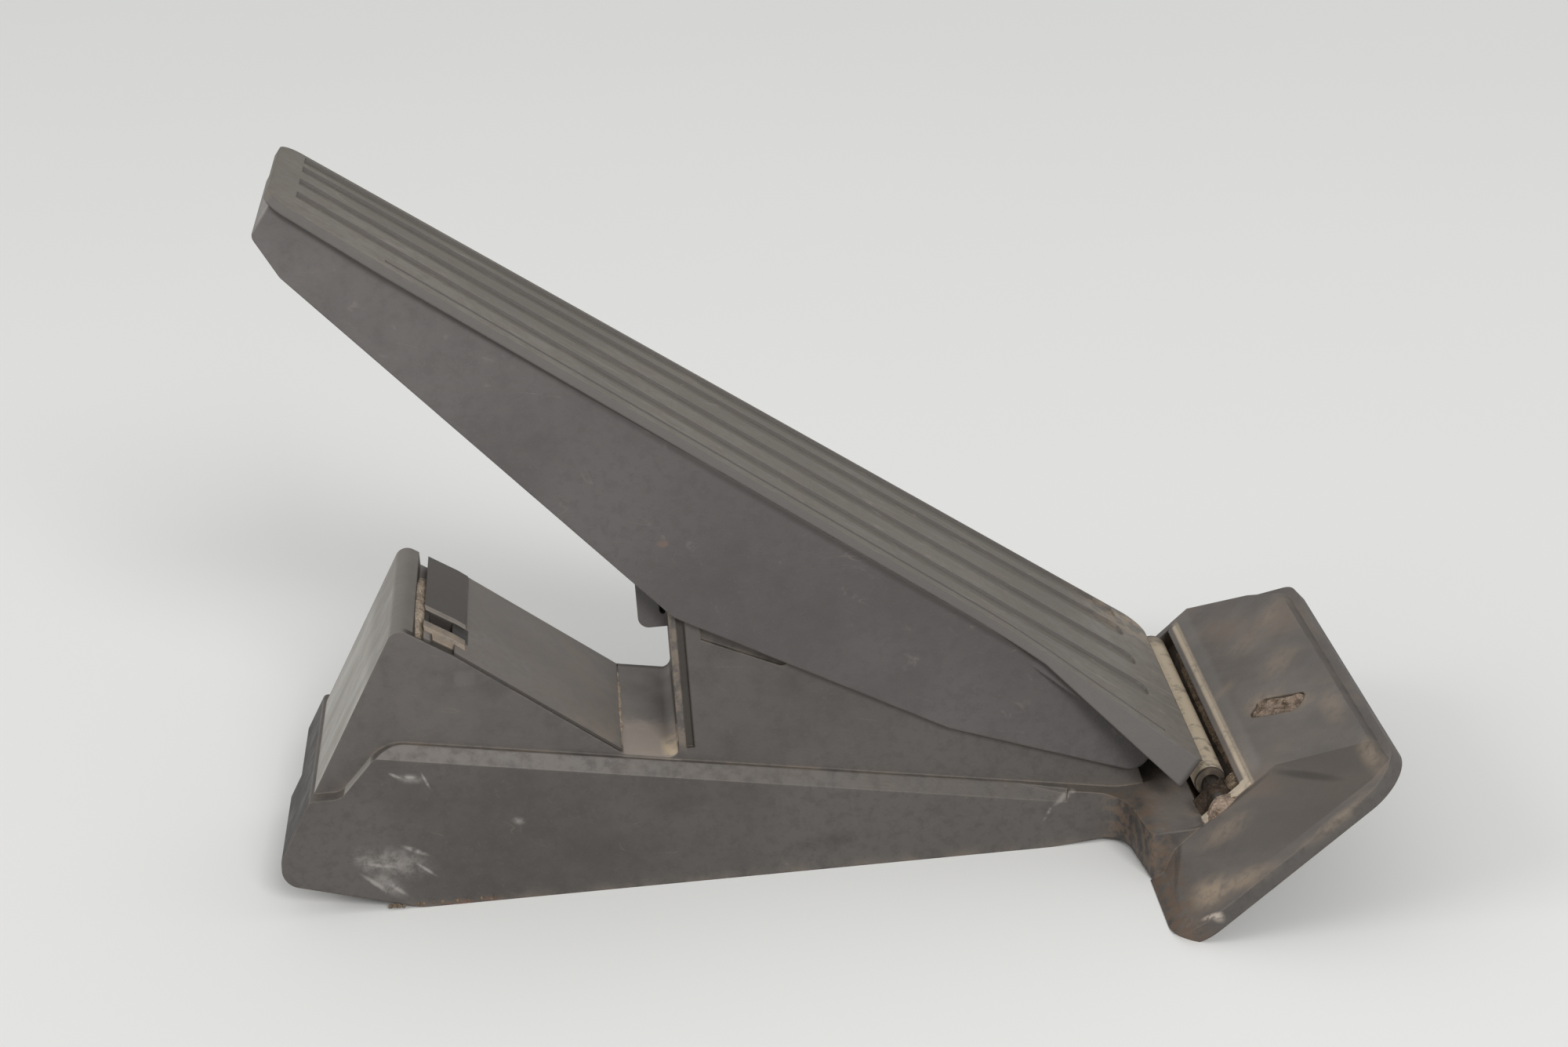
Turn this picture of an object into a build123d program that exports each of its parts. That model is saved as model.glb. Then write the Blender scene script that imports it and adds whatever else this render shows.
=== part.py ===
from build123d import *
import math
import os

# Sizes in millimetres and degrees. X runs from the front of the car to the heel, Y across, Z up from the seat.

# Clearances
PART_GAP = 0.3
RUNNING_GAP = 0.05
PRESS_GAP = 0.02

# Base: seat, walls, ledge and front block
SEAT_LENGTH = 144.0
LOWER_WIDTH = 52.0
UPPER_WIDTH = 45.0
WALL = 2.5
FLOOR = 3.0
TOE_LENGTH = 27.0
TOE_RISE = 7.8
TOE_LIP = 5.3
TOE_SLOPE = 6.5
TOE_RADIUS = 4.0
TOE_STEP = 3.2
TOE_STEP_START = 3.0
LEDGE_HEIGHT = 35.3
LEDGE_START = 4.0
LEDGE_FALL = 9.85
LEDGE_CHAMFER = 2.4
SHOULDER_HEIGHT = 25.3
SHOULDER_LENGTH = 5.5
BLOCK_HEIGHT = 59.0
BLOCK_RIM = 3.4
RAMP_KNEE_RUN = 11.0
RAMP_KNEE_DROP = 7.2
POCKET_START = 42.6
POCKET_END = 53.5
POCKET_HEIGHT = 27.6
POCKET_FALL = 1.9
FLARE_RADIUS = 8.0
RECESS_DEPTH = 1.0
RECESS_DROP = 8.4
RELIEF_START = 18.0
RELIEF_RISE = 1.3
RELIEF_INNER = 10.0

# Lid of the front bay
LID_GAP = 0.15
LID_NEAR_GAP = 1.0
LID_DROP = 0.15
LID_THICKNESS = 2.6
LID_LIP = 0.8
LID_SLIT = 1.9
LID_SHELF = 1.5
TONGUE_RISE = 0.9
TONGUE_LENGTH = 7.6
TONGUE_NEAR = -5.5
WINDOW_NEAR = -13.0
WINDOW_FAR = -6.0
LIP_NEAR = -16.0
NOTCH_DEPTH = 1.3

# Heel plate, measured along its slope from the heel end of the seat
HEEL_ANGLE = 39.6
HEEL_START = -0.8
HEEL_LENGTH = 54.0
HEEL_NEAR = 71.8
HEEL_SPREAD = 3.8
HEEL_FAR = 15.0
HEEL_BEND_ALONG = 45.0
HEEL_BEND_ACROSS = 23.5
HEEL_END_ALONG = 31.8
HEEL_END_ACROSS = 39.4
HEEL_UNDER = 2.2
HEEL_TOP = 0.9
PLATEAU_TOP = 3.0
PLATEAU_NEAR = 46.0
PLATEAU_TURN = 33.0
HEEL_CORNER = 9.0
FIXING_SLOT_ALONG = 38.8
FIXING_SLOT_ACROSS = -27.0
FIXING_SLOT_LENGTH = 15.5
FIXING_SLOT_WIDTH = 5.0
FIXING_SLOT_ANGLE = -49.0

# Hinge of the pedal, in a trough across the heel plate
HINGE_ALONG = 19.5
HINGE_RISE = 3.0
TROUGH_WIDTH = 10.0
TROUGH_END_GAP = 1.0
TROUGH_NEAR_ROOM = 8.6
TROUGH_END_WALL = 2.0
TROUGH_BEAD = 2.0
TROUGH_BEAD_RISE = 0.7
BARREL_RADIUS = 3.2
BARREL_LENGTH = 66.0
HINGE_PIN_RADIUS = 1.75
HINGE_BUSH_RADIUS = 2.5
HINGE_BUSH_LENGTH = 8.0
HINGE_FLANGE = 0.8
PEDAL_TRAVEL = 12.0

# Tread and carrier, measured along the tread from the hinge axis and square to it
TREAD_ANGLE = 36.8
TREAD_LENGTH = 210.0
TREAD_OFFSET = 5.3
TREAD_RISE = 3.9
TREAD_THICKNESS = 1.8
TREAD_NEAR = 24.4
TREAD_TIP_NEAR = 22.5
TREAD_TIP_FAR = 16.5
TREAD_HEEL_NEAR = 37.0
TREAD_HEEL_FAR = 33.5
TREAD_NOSE = 25.0
TREAD_TURN = 48.0
TREAD_BEND_RADIUS = 60.0
TREAD_CORNER = 5.0
TREAD_NEAR_CORNER = 1.2
TREAD_RIM = 1.6
RIM_START = 40.0
RIM_DEPTH = 7.0
GROOVE_DEPTH = 0.6
GROOVE_TIPS = (-11.3, -2.0, 7.0, 13.4)
GROOVE_HEELS = (-12.0, 3.5, 19.0, 29.4)
GROOVE_TIP_WIDTH = 4.0
GROOVE_HEEL_WIDTH = 6.0
GROOVE_MARGIN_TIP = 5.5
GROOVE_MARGIN_HEEL = 8.0
EDGE_LINE = 3.2
EDGE_LINE_WIDTH = 1.2
EDGE_LINE_DEPTH = 0.6
PLATE = 2.4
SKIRT = 1.6
SKIRT_GAP = 0.4
SKIRT_TIP_NEAR = 20.8
SKIRT_TIP_FAR = 15.0
SKIRT_TIP_DEPTH = 7.1
SKIRT_CHIN = 10.0
SKIRT_CHIN_DEPTH = 11.1
SKIRT_BEND = 115.0
SKIRT_KNEE = 107.0
SKIRT_KNEE_DEPTH = 30.0
SKIRT_HIP = 48.0
SKIRT_HIP_DEPTH = 21.9
SKIRT_END = 10.3
SKIRT_END_DEPTH = 10.4
STUD_HALF = 2.0
STUD_LENGTH = 4.0

# Hook under the carrier and the slot that it runs in
WALL_GROOVE = 1.5
WALL_GROOVE_DEPTH = 0.9
HOOK_ACROSS = -14.0
HOOK_WIDTH = 6.0
HOOK_THICKNESS = 4.4
HOOK_REACH = 5.8
HOOK_DROP = 4.2
HOOK_SLOT_WIDTH = 9.0
HOOK_SLOT_TOP = 56.0
HOOK_TOE = 2.0

# Drive lever, springs and sensor
LEVER_X = 32.0
LEVER_Z = 20.0
LEVER_ARM = 40.4
LEVER_ANGLE = 138.0
LEVER_RATIO = 2.2
LEVER_NEAR = -5.0
LEVER_FAR = 1.0
HUB_RADIUS = 5.0
HUB_NEAR = -15.0
HUB_FAR = 10.2
SHAFT_RADIUS = 3.0
SHOE_RADIUS = 5.0
SHOE_WALL = 1.8
SHOE_MOUTH = 124.0
BUSH_WALL = 1.5
BUSH_LENGTH = 4.5
BOSS_WALL = 2.5
SPRING_RADIUS = 7.5
SPRING_WIRE = 1.5
SPRING_TURNS = 2
SPRING_STEPS = 15
SPRING_PITCH = 1.8
SPRING_LEG = 18.0
SPRING_NEAR = -13.0
SPRING_FAR = 6.0
PEG_RADIUS = 1.5
PEG_REACH = 20.0
COVER_NEAR = 11.0
COVER_THICKNESS = 2.0
MAGNET_ORBIT = 11.5
MAGNET_ANGLE = 205.0
MAGNET_WIDTH = 5.0
MAGNET_DEPTH = 1.8
FLANGE = 3.0
BOARD_NEAR = 15.0
BOARD_THICKNESS = 1.6
BOARD_LOW = 5.0
BOARD_HIGH = 21.0
BOARD_FRONT = -74.0
BOARD_HEEL = 23.5
SOCKET_X = -55.0
SOCKET_Z = 16.0
SOCKET_LENGTH = 22.0
SOCKET_HEIGHT = 17.0
SOCKET_WALL = 1.6
SOCKET_DEPTH = 13.0
PIN_COLUMNS = 3
PIN_ROWS = 2
PIN_SIZE = 1.0
PIN_PITCH = 4.0
PIN_REACH = 8.0
SCREW_RADIUS = 1.5
SCREW_HEAD = 2.8
SCREW_HEAD_HEIGHT = 1.6
SCREW_LENGTH = 8.0
POST_HALF = 3.0
BUFFER_WIDTH = 7.0
BUFFER_WALL = 1.3
BUFFER_SEAT = 4.0

# Places worked out from the sizes
seat_front = -SEAT_LENGTH / 2
seat_heel = SEAT_LENGTH / 2
half_lower = LOWER_WIDTH / 2
half_upper = UPPER_WIDTH / 2
inner_lower = half_lower - WALL
inner_upper = half_upper - WALL
heel = Plane(
    origin=(seat_heel, 0, 0),
    x_dir=(math.cos(math.radians(HEEL_ANGLE)), 0, math.sin(math.radians(HEEL_ANGLE))),
    z_dir=(-math.sin(math.radians(HEEL_ANGLE)), 0, math.cos(math.radians(HEEL_ANGLE))),
)


def on_heel(along, rise):
    """Side-view point at a place along the heel plate and a height square to it."""
    point = heel.from_local_coords(Vector(along, 0, rise))
    return point.X, point.Z


hinge_x, hinge_z = on_heel(HINGE_ALONG, HINGE_RISE)
pedal = Plane(
    origin=(hinge_x, 0, hinge_z),
    x_dir=(math.cos(math.radians(TREAD_ANGLE)), 0, -math.sin(math.radians(TREAD_ANGLE))),
    z_dir=(math.sin(math.radians(TREAD_ANGLE)), 0, math.cos(math.radians(TREAD_ANGLE))),
)
tread_tip = -(TREAD_OFFSET + TREAD_LENGTH)
tread_heel = -TREAD_OFFSET
tread_under = TREAD_RISE - TREAD_THICKNESS
plate_under = tread_under - PLATE
skirt_outer = half_upper + SKIRT_GAP + SKIRT
cross_wall = seat_front + POCKET_END
cavity_front = cross_wall + WALL
toe_x = seat_front - TOE_LENGTH
peak_x = seat_front + 0.5
knee_x = peak_x + RAMP_KNEE_RUN
knee_z = BLOCK_HEIGHT - RAMP_KNEE_DROP
pocket_x = seat_front + POCKET_START
trough_low = HINGE_ALONG - TROUGH_WIDTH * 0.45
trough_high = trough_low + TROUGH_WIDTH
trough_floor = HINGE_RISE - BARREL_RADIUS - PART_GAP
half_trough = BARREL_LENGTH / 2 + HINGE_FLANGE + TROUGH_END_GAP
trough_near = -half_trough - TROUGH_NEAR_ROOM
block_near = trough_near - TROUGH_END_WALL
block_far = half_trough + TROUGH_END_WALL
lid_front = peak_x + BLOCK_RIM
lid_heel = pocket_x - 0.2
lid_half = half_upper - LID_LIP
cover_far = COVER_NEAR + COVER_THICKNESS
board_far = BOARD_NEAR + BOARD_THICKNESS
screw_places = [(cavity_front + 7, 26.0), (LEVER_X - 20, 26.0), (LEVER_X + 14, 9.5)]
board_posts = [BOARD_FRONT + 6, cross_wall - 11, cavity_front + 21]
pin_places = [
    (SOCKET_X + PIN_PITCH * (i - (PIN_COLUMNS - 1) / 2), SOCKET_Z + PIN_PITCH * (j - (PIN_ROWS - 1) / 2))
    for i in range(PIN_COLUMNS)
    for j in range(PIN_ROWS)
]
buffer_places = [4.5, 13.5]


def ledge_z(x):
    """Height of the ledge along the base."""
    return LEDGE_HEIGHT - (x - seat_front + LEDGE_START) * math.tan(math.radians(LEDGE_FALL))


def wall_top_z(x):
    """Height of the upper walls, just under the carrier when the pedal is fully pressed."""
    pressed = math.radians(TREAD_ANGLE - PEDAL_TRAVEL)
    return hinge_z + (hinge_x - x) * math.tan(pressed) + (plate_under - 2 * PART_GAP) / math.cos(pressed)


def ramp_z(x):
    """Height of the front block's sloped top."""
    if x < knee_x:
        return BLOCK_HEIGHT - (x - peak_x) * RAMP_KNEE_DROP / RAMP_KNEE_RUN
    return knee_z - (x - knee_x) * (knee_z - POCKET_HEIGHT) / (pocket_x - knee_x)


def prism(points, y_low, y_high, radii=0):
    """Solid across the pedal from a side-view outline, with a radius for each corner."""
    path = FilletPolyline(*[(x, y_low, z) for x, z in points], radius=radii, close=True)
    return extrude(make_face(path), amount=y_high - y_low, dir=(0, 1, 0))


def plan(points, z_low, z_high, radii=0):
    """Upright solid from an outline seen from above, with a radius for each corner."""
    path = FilletPolyline(*[(x, y, z_low) for x, y in points], radius=radii, close=True)
    return extrude(make_face(path), amount=z_high - z_low, dir=(0, 0, 1))


def block(x_low, x_high, y_low, y_high, z_low, z_high):
    """Box between two corners."""
    centre = Pos((x_low + x_high) / 2, (y_low + y_high) / 2, (z_low + z_high) / 2)
    return centre * Box(x_high - x_low, y_high - y_low, z_high - z_low)


def rod(x, z, radius, y_low, y_high):
    """Round bar across the pedal."""
    return Pos(x, (y_low + y_high) / 2, z) * Rot(90, 0, 0) * Cylinder(radius, y_high - y_low)


def mirrored(points):
    """Closed outline from its near half, listed from front to heel."""
    return points + [(x, -y) for x, y in reversed(points)]


def polar(x, z, reach, angle):
    """Side-view point at a distance and an angle from another point."""
    return x + reach * math.cos(math.radians(angle)), z + reach * math.sin(math.radians(angle))


# Base housing
def base_lower_body():
    """Wide lower half with the toe, the sloping ledge and the flared hinge block."""
    rim_x, rim_z = on_heel(trough_low - 1.5, PLATEAU_TOP)
    side = [
        (seat_front, 0),
        (seat_heel + HEEL_UNDER / math.sin(math.radians(HEEL_ANGLE)), 0),
        on_heel(trough_high + WALL, -HEEL_UNDER),
        on_heel(trough_high + WALL, PLATEAU_TOP),
        (rim_x, rim_z),
        (seat_heel - 4, ledge_z(seat_heel - 4)),
        (seat_front - LEDGE_START, LEDGE_HEIGHT),
        (toe_x + TOE_SLOPE + SHOULDER_LENGTH + 1.5, SHOULDER_HEIGHT),
        (toe_x + TOE_SLOPE + 1.0, SHOULDER_HEIGHT),
        (toe_x + 0.4, TOE_RISE + TOE_LIP),
        (toe_x, TOE_RISE),
    ]
    radii = [8, 0, 0, 0, 4, 12, 8, 3, 1, 2, TOE_RADIUS]
    straight = prism(side, -half_lower, half_lower, radii)
    wedge_x = seat_front - 3 * LEDGE_START
    fall = math.radians(LEDGE_FALL)
    ledge = Plane(
        origin=(wedge_x, 0, ledge_z(wedge_x)), x_dir=(0, 1, 0), z_dir=(math.cos(fall), 0, -math.sin(fall))
    )
    wedge = [(half_lower - LEDGE_CHAMFER - 1, 1), (half_lower + 1, -LEDGE_CHAMFER - 1), (half_lower + 1, 1)]
    for side_sign in (-1, 1):
        section = ledge * make_face(Polyline(*[(side_sign * y, h, 0) for y, h in wedge], close=True))
        straight -= extrude(section, amount=SEAT_LENGTH, dir=ledge.z_dir)
    flared = [
        (seat_heel - 30, -half_lower + 3),
        (seat_heel - 3.5, -half_lower),
        (seat_heel + HEEL_START, block_near),
        (hinge_x + 20, block_near),
        (hinge_x + 20, block_far),
        (seat_heel + HEEL_START, block_far),
        (seat_heel - 3.5, half_lower),
        (seat_heel - 30, half_lower - 3),
    ]
    flare = [0, FLARE_RADIUS, 2, 0]
    hinge_block = prism(side, block_near, block_far, radii)
    hinge_block &= plan(flared, -5, BLOCK_HEIGHT, flare + flare[::-1])
    body = straight + hinge_block
    relief = [(seat_heel - RELIEF_START, 0), (seat_heel - 4.5, RELIEF_RISE), (seat_heel + 0.8, 0), (seat_heel, -1)]
    body -= prism(relief, block_near - 1, -RELIEF_INNER)
    body -= prism(relief, RELIEF_INNER, block_far + 1)
    return body - block(toe_x - 1, toe_x + TOE_STEP, TOE_STEP_START, half_lower + 1, 0, SHOULDER_HEIGHT)


def base_upper_body():
    """Narrow upper half: front block, pocket, cross wall and the walls under the pedal."""
    wall_end = seat_heel - 1
    side = [
        (toe_x + TOE_SLOPE + 1.0, SHOULDER_HEIGHT - 1),
        (peak_x, BLOCK_HEIGHT),
        (knee_x, knee_z),
        (pocket_x, POCKET_HEIGHT),
        (cross_wall, POCKET_HEIGHT - POCKET_FALL),
        (cross_wall, wall_top_z(cross_wall)),
        (wall_end, wall_top_z(wall_end)),
        (wall_end + 4, FLOOR + 2),
        (seat_front, FLOOR + 2),
    ]
    radii = [0, 2.5, 12, 3, 2, 3, 4, 0, 0]
    return prism(side, -half_upper, half_upper, radii)


def base_cavities():
    """Hollows of the front bay and of the lever bay, both open upwards."""
    bay_back = cross_wall
    bay_front = lid_front + LID_SLIT + LID_SHELF
    bay = [
        (seat_front + 1, FLOOR),
        (bay_back, FLOOR),
        (bay_back, POCKET_HEIGHT - POCKET_FALL - WALL),
        (pocket_x - 1, POCKET_HEIGHT - WALL),
        (pocket_x - 1, ramp_z(pocket_x - 1) + 5),
        (bay_front, ramp_z(bay_front) + 5),
        (bay_front, ramp_z(bay_front) - 6),
        (toe_x + TOE_SLOPE + 4.5, SHOULDER_HEIGHT),
        (toe_x + TOE_STEP + WALL, TOE_RISE + TOE_LIP),
        (toe_x + TOE_STEP + WALL, TOE_RISE + FLOOR),
    ]
    top = BLOCK_HEIGHT + 40
    lever_bay = [
        (cavity_front, FLOOR),
        (seat_heel - 12, FLOOR),
        (seat_heel - 8, ledge_z(seat_heel - 8)),
        (seat_heel + 12, ledge_z(seat_heel - 8)),
        (seat_heel + 12, top),
        (cavity_front, top),
    ]
    low_bay = [
        (cavity_front, FLOOR),
        (seat_heel - 12, FLOOR),
        (seat_heel - 12, ledge_z(seat_heel - 12) - WALL),
        (cavity_front, ledge_z(cavity_front) - WALL),
    ]
    low_front = [
        (seat_front + 1, FLOOR),
        (cross_wall, FLOOR),
        (cross_wall, ledge_z(cross_wall) - WALL),
        (seat_front, ledge_z(seat_front) - WALL),
        (seat_front - 10, SHOULDER_HEIGHT - WALL),
        (seat_front - 10, FLOOR + 2.5),
    ]
    lid_seat = [(x, lid_under_z(x)) for x in (lid_front, knee_x, lid_heel)]
    lid_seat += [(lid_heel, BLOCK_HEIGHT + 5), (lid_front, BLOCK_HEIGHT + 5)]
    hollow = prism(bay, -inner_upper, inner_upper)
    hollow += prism(lid_seat, -lid_half, half_upper + 1)
    hollow += prism(lever_bay, -inner_upper, inner_upper)
    hollow += prism(low_bay, -inner_lower, inner_lower)
    hollow += prism(low_front, -inner_lower, inner_lower)
    return hollow


def heel_plate():
    """Sloped foot rest with a raised field that falls away towards its near edge."""
    outline = [
        (HEEL_START, -HEEL_NEAR),
        (HEEL_LENGTH, -HEEL_NEAR - HEEL_SPREAD),
        (HEEL_LENGTH - 1, HEEL_FAR),
        (HEEL_BEND_ALONG, HEEL_BEND_ACROSS),
        (HEEL_END_ALONG, HEEL_END_ACROSS),
        (trough_high - 1, HEEL_END_ACROSS),
        (trough_high - 1, block_far - 1),
        (trough_low, block_far - 1),
        (trough_low, block_near + 1),
        (HEEL_START, block_near + 1),
    ]
    radii = [HEEL_CORNER, HEEL_CORNER, 7, 8, 4, 2, 0, 0, 0, 0]
    plate = plan(outline, -HEEL_UNDER, HEEL_TOP, radii)
    inset = 1.5
    low = [
        (HEEL_START + 3, -HEEL_NEAR + 9),
        (HEEL_START + 9, -HEEL_NEAR + inset),
        (HEEL_LENGTH - 5, -HEEL_NEAR - HEEL_SPREAD + inset),
        (HEEL_LENGTH - inset, -HEEL_NEAR - HEEL_SPREAD + 5),
        (HEEL_LENGTH - inset - 1, HEEL_FAR - 3),
        (HEEL_BEND_ALONG, HEEL_BEND_ACROSS - inset),
        (HEEL_END_ALONG, HEEL_END_ACROSS - inset),
        (trough_high, HEEL_END_ACROSS - inset),
        (HEEL_START + 3, block_near + 2),
    ]
    high = [
        (HEEL_START + 8, -PLATEAU_NEAR),
        (HEEL_START + 10, -PLATEAU_NEAR),
        (PLATEAU_TURN, -PLATEAU_NEAR),
        (HEEL_LENGTH - 2.5, -HEEL_NEAR + 8),
        (HEEL_LENGTH - 3.5, HEEL_FAR - 3.5),
        (HEEL_BEND_ALONG - 1, HEEL_BEND_ACROSS - 2),
        (HEEL_END_ALONG - 1, HEEL_END_ACROSS - 2.5),
        (trough_high + 1, HEEL_END_ACROSS - 2.5),
        (HEEL_START + 8, block_near + 3),
    ]
    faces = []
    for outline, height in ((low, HEEL_TOP - 0.2), (high, PLATEAU_TOP)):
        faces.append(make_face(Polyline(*[(x, y, height) for x, y in outline], close=True)))
    field = loft(faces, ruled=True)
    slot = SlotOverall(FIXING_SLOT_LENGTH, FIXING_SLOT_WIDTH, rotation=FIXING_SLOT_ANGLE)
    slot = extrude(Pos(FIXING_SLOT_ALONG, FIXING_SLOT_ACROSS, -HEEL_UNDER - 1) * slot, amount=10)
    bead_low = PLATEAU_TOP - 1
    bead_high = PLATEAU_TOP + TROUGH_BEAD_RISE
    bead_end = trough_high + TROUGH_BEAD
    bead = block(trough_high, bead_end, trough_near, half_trough - TROUGH_BEAD, bead_low, bead_high)
    bead += block(trough_low, bead_end, trough_near - TROUGH_BEAD, trough_near, bead_low, bead_high)
    body = heel.location * (plate + field + bead - slot)
    return body & block(seat_front, seat_heel + 2 * HEEL_LENGTH, -2 * HEEL_NEAR, HEEL_NEAR, 0, BLOCK_HEIGHT)


def trough():
    """Open trough for the hinge barrel, with the pin's holes in its end walls."""
    cut = block(trough_low, trough_high, trough_near, half_trough, trough_floor, 20)
    cut = heel.location * cut
    pin_hole = HINGE_PIN_RADIUS + PRESS_GAP
    return cut + rod(hinge_x, hinge_z, pin_hole, trough_near - 2, block_far + 1)


def lid_under_z(x):
    """Height of the underside of the bay's lid."""
    return ramp_z(x) - LID_DROP - LID_THICKNESS


def base_supports():
    """Boss, posts, ribs and seat inside the base that carry the other pieces."""
    boss = SHAFT_RADIUS + BUSH_WALL + BOSS_WALL
    body = rod(LEVER_X, LEVER_Z, boss, -inner_upper - WALL / 2, -inner_upper + BUSH_LENGTH)
    for x, z in screw_places:
        body += block(x - POST_HALF, x + POST_HALF, cover_far, inner_upper + WALL / 2, z - POST_HALF, z + POST_HALF)
    board_z = (BOARD_LOW + BOARD_HIGH) / 2
    for x in board_posts:
        low = board_z - POST_HALF
        body += block(x - POST_HALF, x + POST_HALF, board_far, inner_lower + WALL / 2, low, board_z + POST_HALF)
    seat_z = LEVER_Z - SPRING_RADIUS - SPRING_WIRE / 2 - RUNNING_GAP
    body += block(LEVER_X + 14, LEVER_X + 17, SPRING_NEAR - 2, SPRING_FAR + 2, FLOOR - 1, seat_z)
    rib = 1.2
    for x in (knee_x + 4, (knee_x + lid_heel) / 2, lid_heel - 4):
        outline = [
            (x - rib, FLOOR - 1),
            (x + rib, FLOOR - 1),
            (x + rib, lid_under_z(x + rib)),
            (x - rib, lid_under_z(x - rib)),
        ]
        body += prism(outline, -inner_upper - WALL / 2, -inner_upper + 2)
        body += prism(outline, inner_upper - 2, inner_upper + WALL / 2)
    return body


def socket_shroud():
    """Connector socket on the far wall, open away from the base."""
    half_x = SOCKET_LENGTH / 2
    half_z = SOCKET_HEIGHT / 2
    outline = mirrored([(SOCKET_X - half_x, -half_z), (SOCKET_X + half_x, -half_z)])
    outline = [(x, SOCKET_Z + z) for x, z in outline]
    shroud = prism(outline, half_lower - WALL / 2, half_lower + SOCKET_DEPTH, 2.5)
    inner = mirrored([
        (SOCKET_X - half_x + SOCKET_WALL, -half_z + SOCKET_WALL),
        (SOCKET_X + half_x - SOCKET_WALL, -half_z + SOCKET_WALL),
    ])
    inner = [(x, SOCKET_Z + z) for x, z in inner]
    shroud -= prism(inner, half_lower, half_lower + SOCKET_DEPTH + 1, 1.2)
    latch = block(SOCKET_X - 3, SOCKET_X + 3, half_lower, half_lower + SOCKET_DEPTH - 2, 0, 1.6)
    return shroud + Pos(0, 0, SOCKET_Z + half_z - 0.2) * latch


def base_openings():
    """Slots, bores and pockets cut into the finished base."""
    bush = SHAFT_RADIUS + BUSH_WALL + PRESS_GAP
    cut = rod(LEVER_X, LEVER_Z, bush, -inner_upper, -inner_upper + BUSH_LENGTH + 1)
    for x, z in screw_places:
        cut += rod(x, z, SCREW_RADIUS + PRESS_GAP, cover_far - 1, COVER_NEAR + SCREW_LENGTH + PART_GAP)
    for x, z in pin_places:
        half_pin = PIN_SIZE / 2 + PRESS_GAP
        cut += block(x - half_pin, x + half_pin, board_far, half_lower + 1, z - half_pin, z + half_pin)
    half_slot = HOOK_SLOT_WIDTH / 2
    slot_low = POCKET_HEIGHT - POCKET_FALL + 1.5
    cut += block(
        cross_wall - 1,
        cavity_front + 1,
        HOOK_ACROSS - half_slot,
        HOOK_ACROSS + half_slot,
        slot_low,
        HOOK_SLOT_TOP,
    )
    cut += block(
        cross_wall - 1,
        cavity_front + 1,
        BOARD_NEAR - PART_GAP,
        board_far + PART_GAP,
        BOARD_LOW - PART_GAP,
        BOARD_HIGH + PART_GAP,
    )
    buffer_low = buffer_places[0] - BUFFER_WIDTH / 2 - PART_GAP
    buffer_high = buffer_places[-1] + BUFFER_WIDTH / 2 + PART_GAP
    cut += block(
        cross_wall - 1,
        cavity_front + 1,
        buffer_low,
        buffer_high,
        wall_top_z(cavity_front) - BUFFER_SEAT,
        BLOCK_HEIGHT + 20,
    )
    for y in (-14, 0, 14):
        cut += block(seat_heel - 7, seat_heel - 0.5, y - 5.5, y + 5.5, -1, ledge_z(seat_heel) - WALL)
    cut += block(
        cross_wall + WALL_GROOVE,
        cross_wall + 2 * WALL_GROOVE,
        -half_upper - 1,
        -half_upper + WALL_GROOVE_DEPTH,
        POCKET_HEIGHT,
        BLOCK_HEIGHT + 20,
    )
    recess = [
        (cavity_front + 3.5, wall_top_z(cavity_front)),
        (cavity_front + 3.5, wall_top_z(cavity_front + 3.5) - RECESS_DROP),
        (cavity_front + 20.5, wall_top_z(cavity_front + 20.5) - RECESS_DROP),
        (cavity_front + 20.5, wall_top_z(cavity_front + 20.5) - 1.5),
    ]
    cut += prism(recess, -half_upper - 1, -half_upper + RECESS_DEPTH, [0, 0, 1.5, 1.5])
    return cut


def base_housing():
    """Moulded base with all that is made in one piece with it."""
    body = base_lower_body() + base_upper_body() + heel_plate()
    body -= base_cavities()
    body -= trough()
    body += base_supports()
    body += socket_shroud()
    return body - base_openings()


# Pieces that sit in the base
def bay_lid():
    """Sloped lid of the front bay with its latch tongue, window and lip."""
    front = lid_front + LID_SLIT
    back = lid_heel - LID_GAP
    tongue_end = front + TONGUE_LENGTH
    near = -lid_half + LID_NEAR_GAP
    top = [(x, ramp_z(x) - LID_DROP) for x in (front, knee_x, back)]
    under = [(x, z - LID_THICKNESS) for x, z in reversed(top)]
    pad = [(x, ramp_z(x) - LID_DROP + TONGUE_RISE) for x in (front, knee_x, tongue_end)]
    pad += [(x, ramp_z(x) - LID_DROP - 0.5) for x in (tongue_end, knee_x, front)]
    body = prism(top + under, near, half_upper)
    body += prism(pad, TONGUE_NEAR, lid_half - LID_LIP)
    body += prism(pad, LIP_NEAR, WINDOW_NEAR)
    window = block(front + 0.8, tongue_end - 2.5, WINDOW_NEAR, WINDOW_FAR, BLOCK_HEIGHT - 20, BLOCK_HEIGHT + 5)
    notch = [(x, ramp_z(x) - LID_DROP - NOTCH_DEPTH) for x in (front + 1.5, knee_x, tongue_end - 2)]
    notch += [(tongue_end - 2, BLOCK_HEIGHT + 5), (front + 1.5, BLOCK_HEIGHT + 5)]
    return body - window - prism(notch, near - 1, LIP_NEAR)


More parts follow.
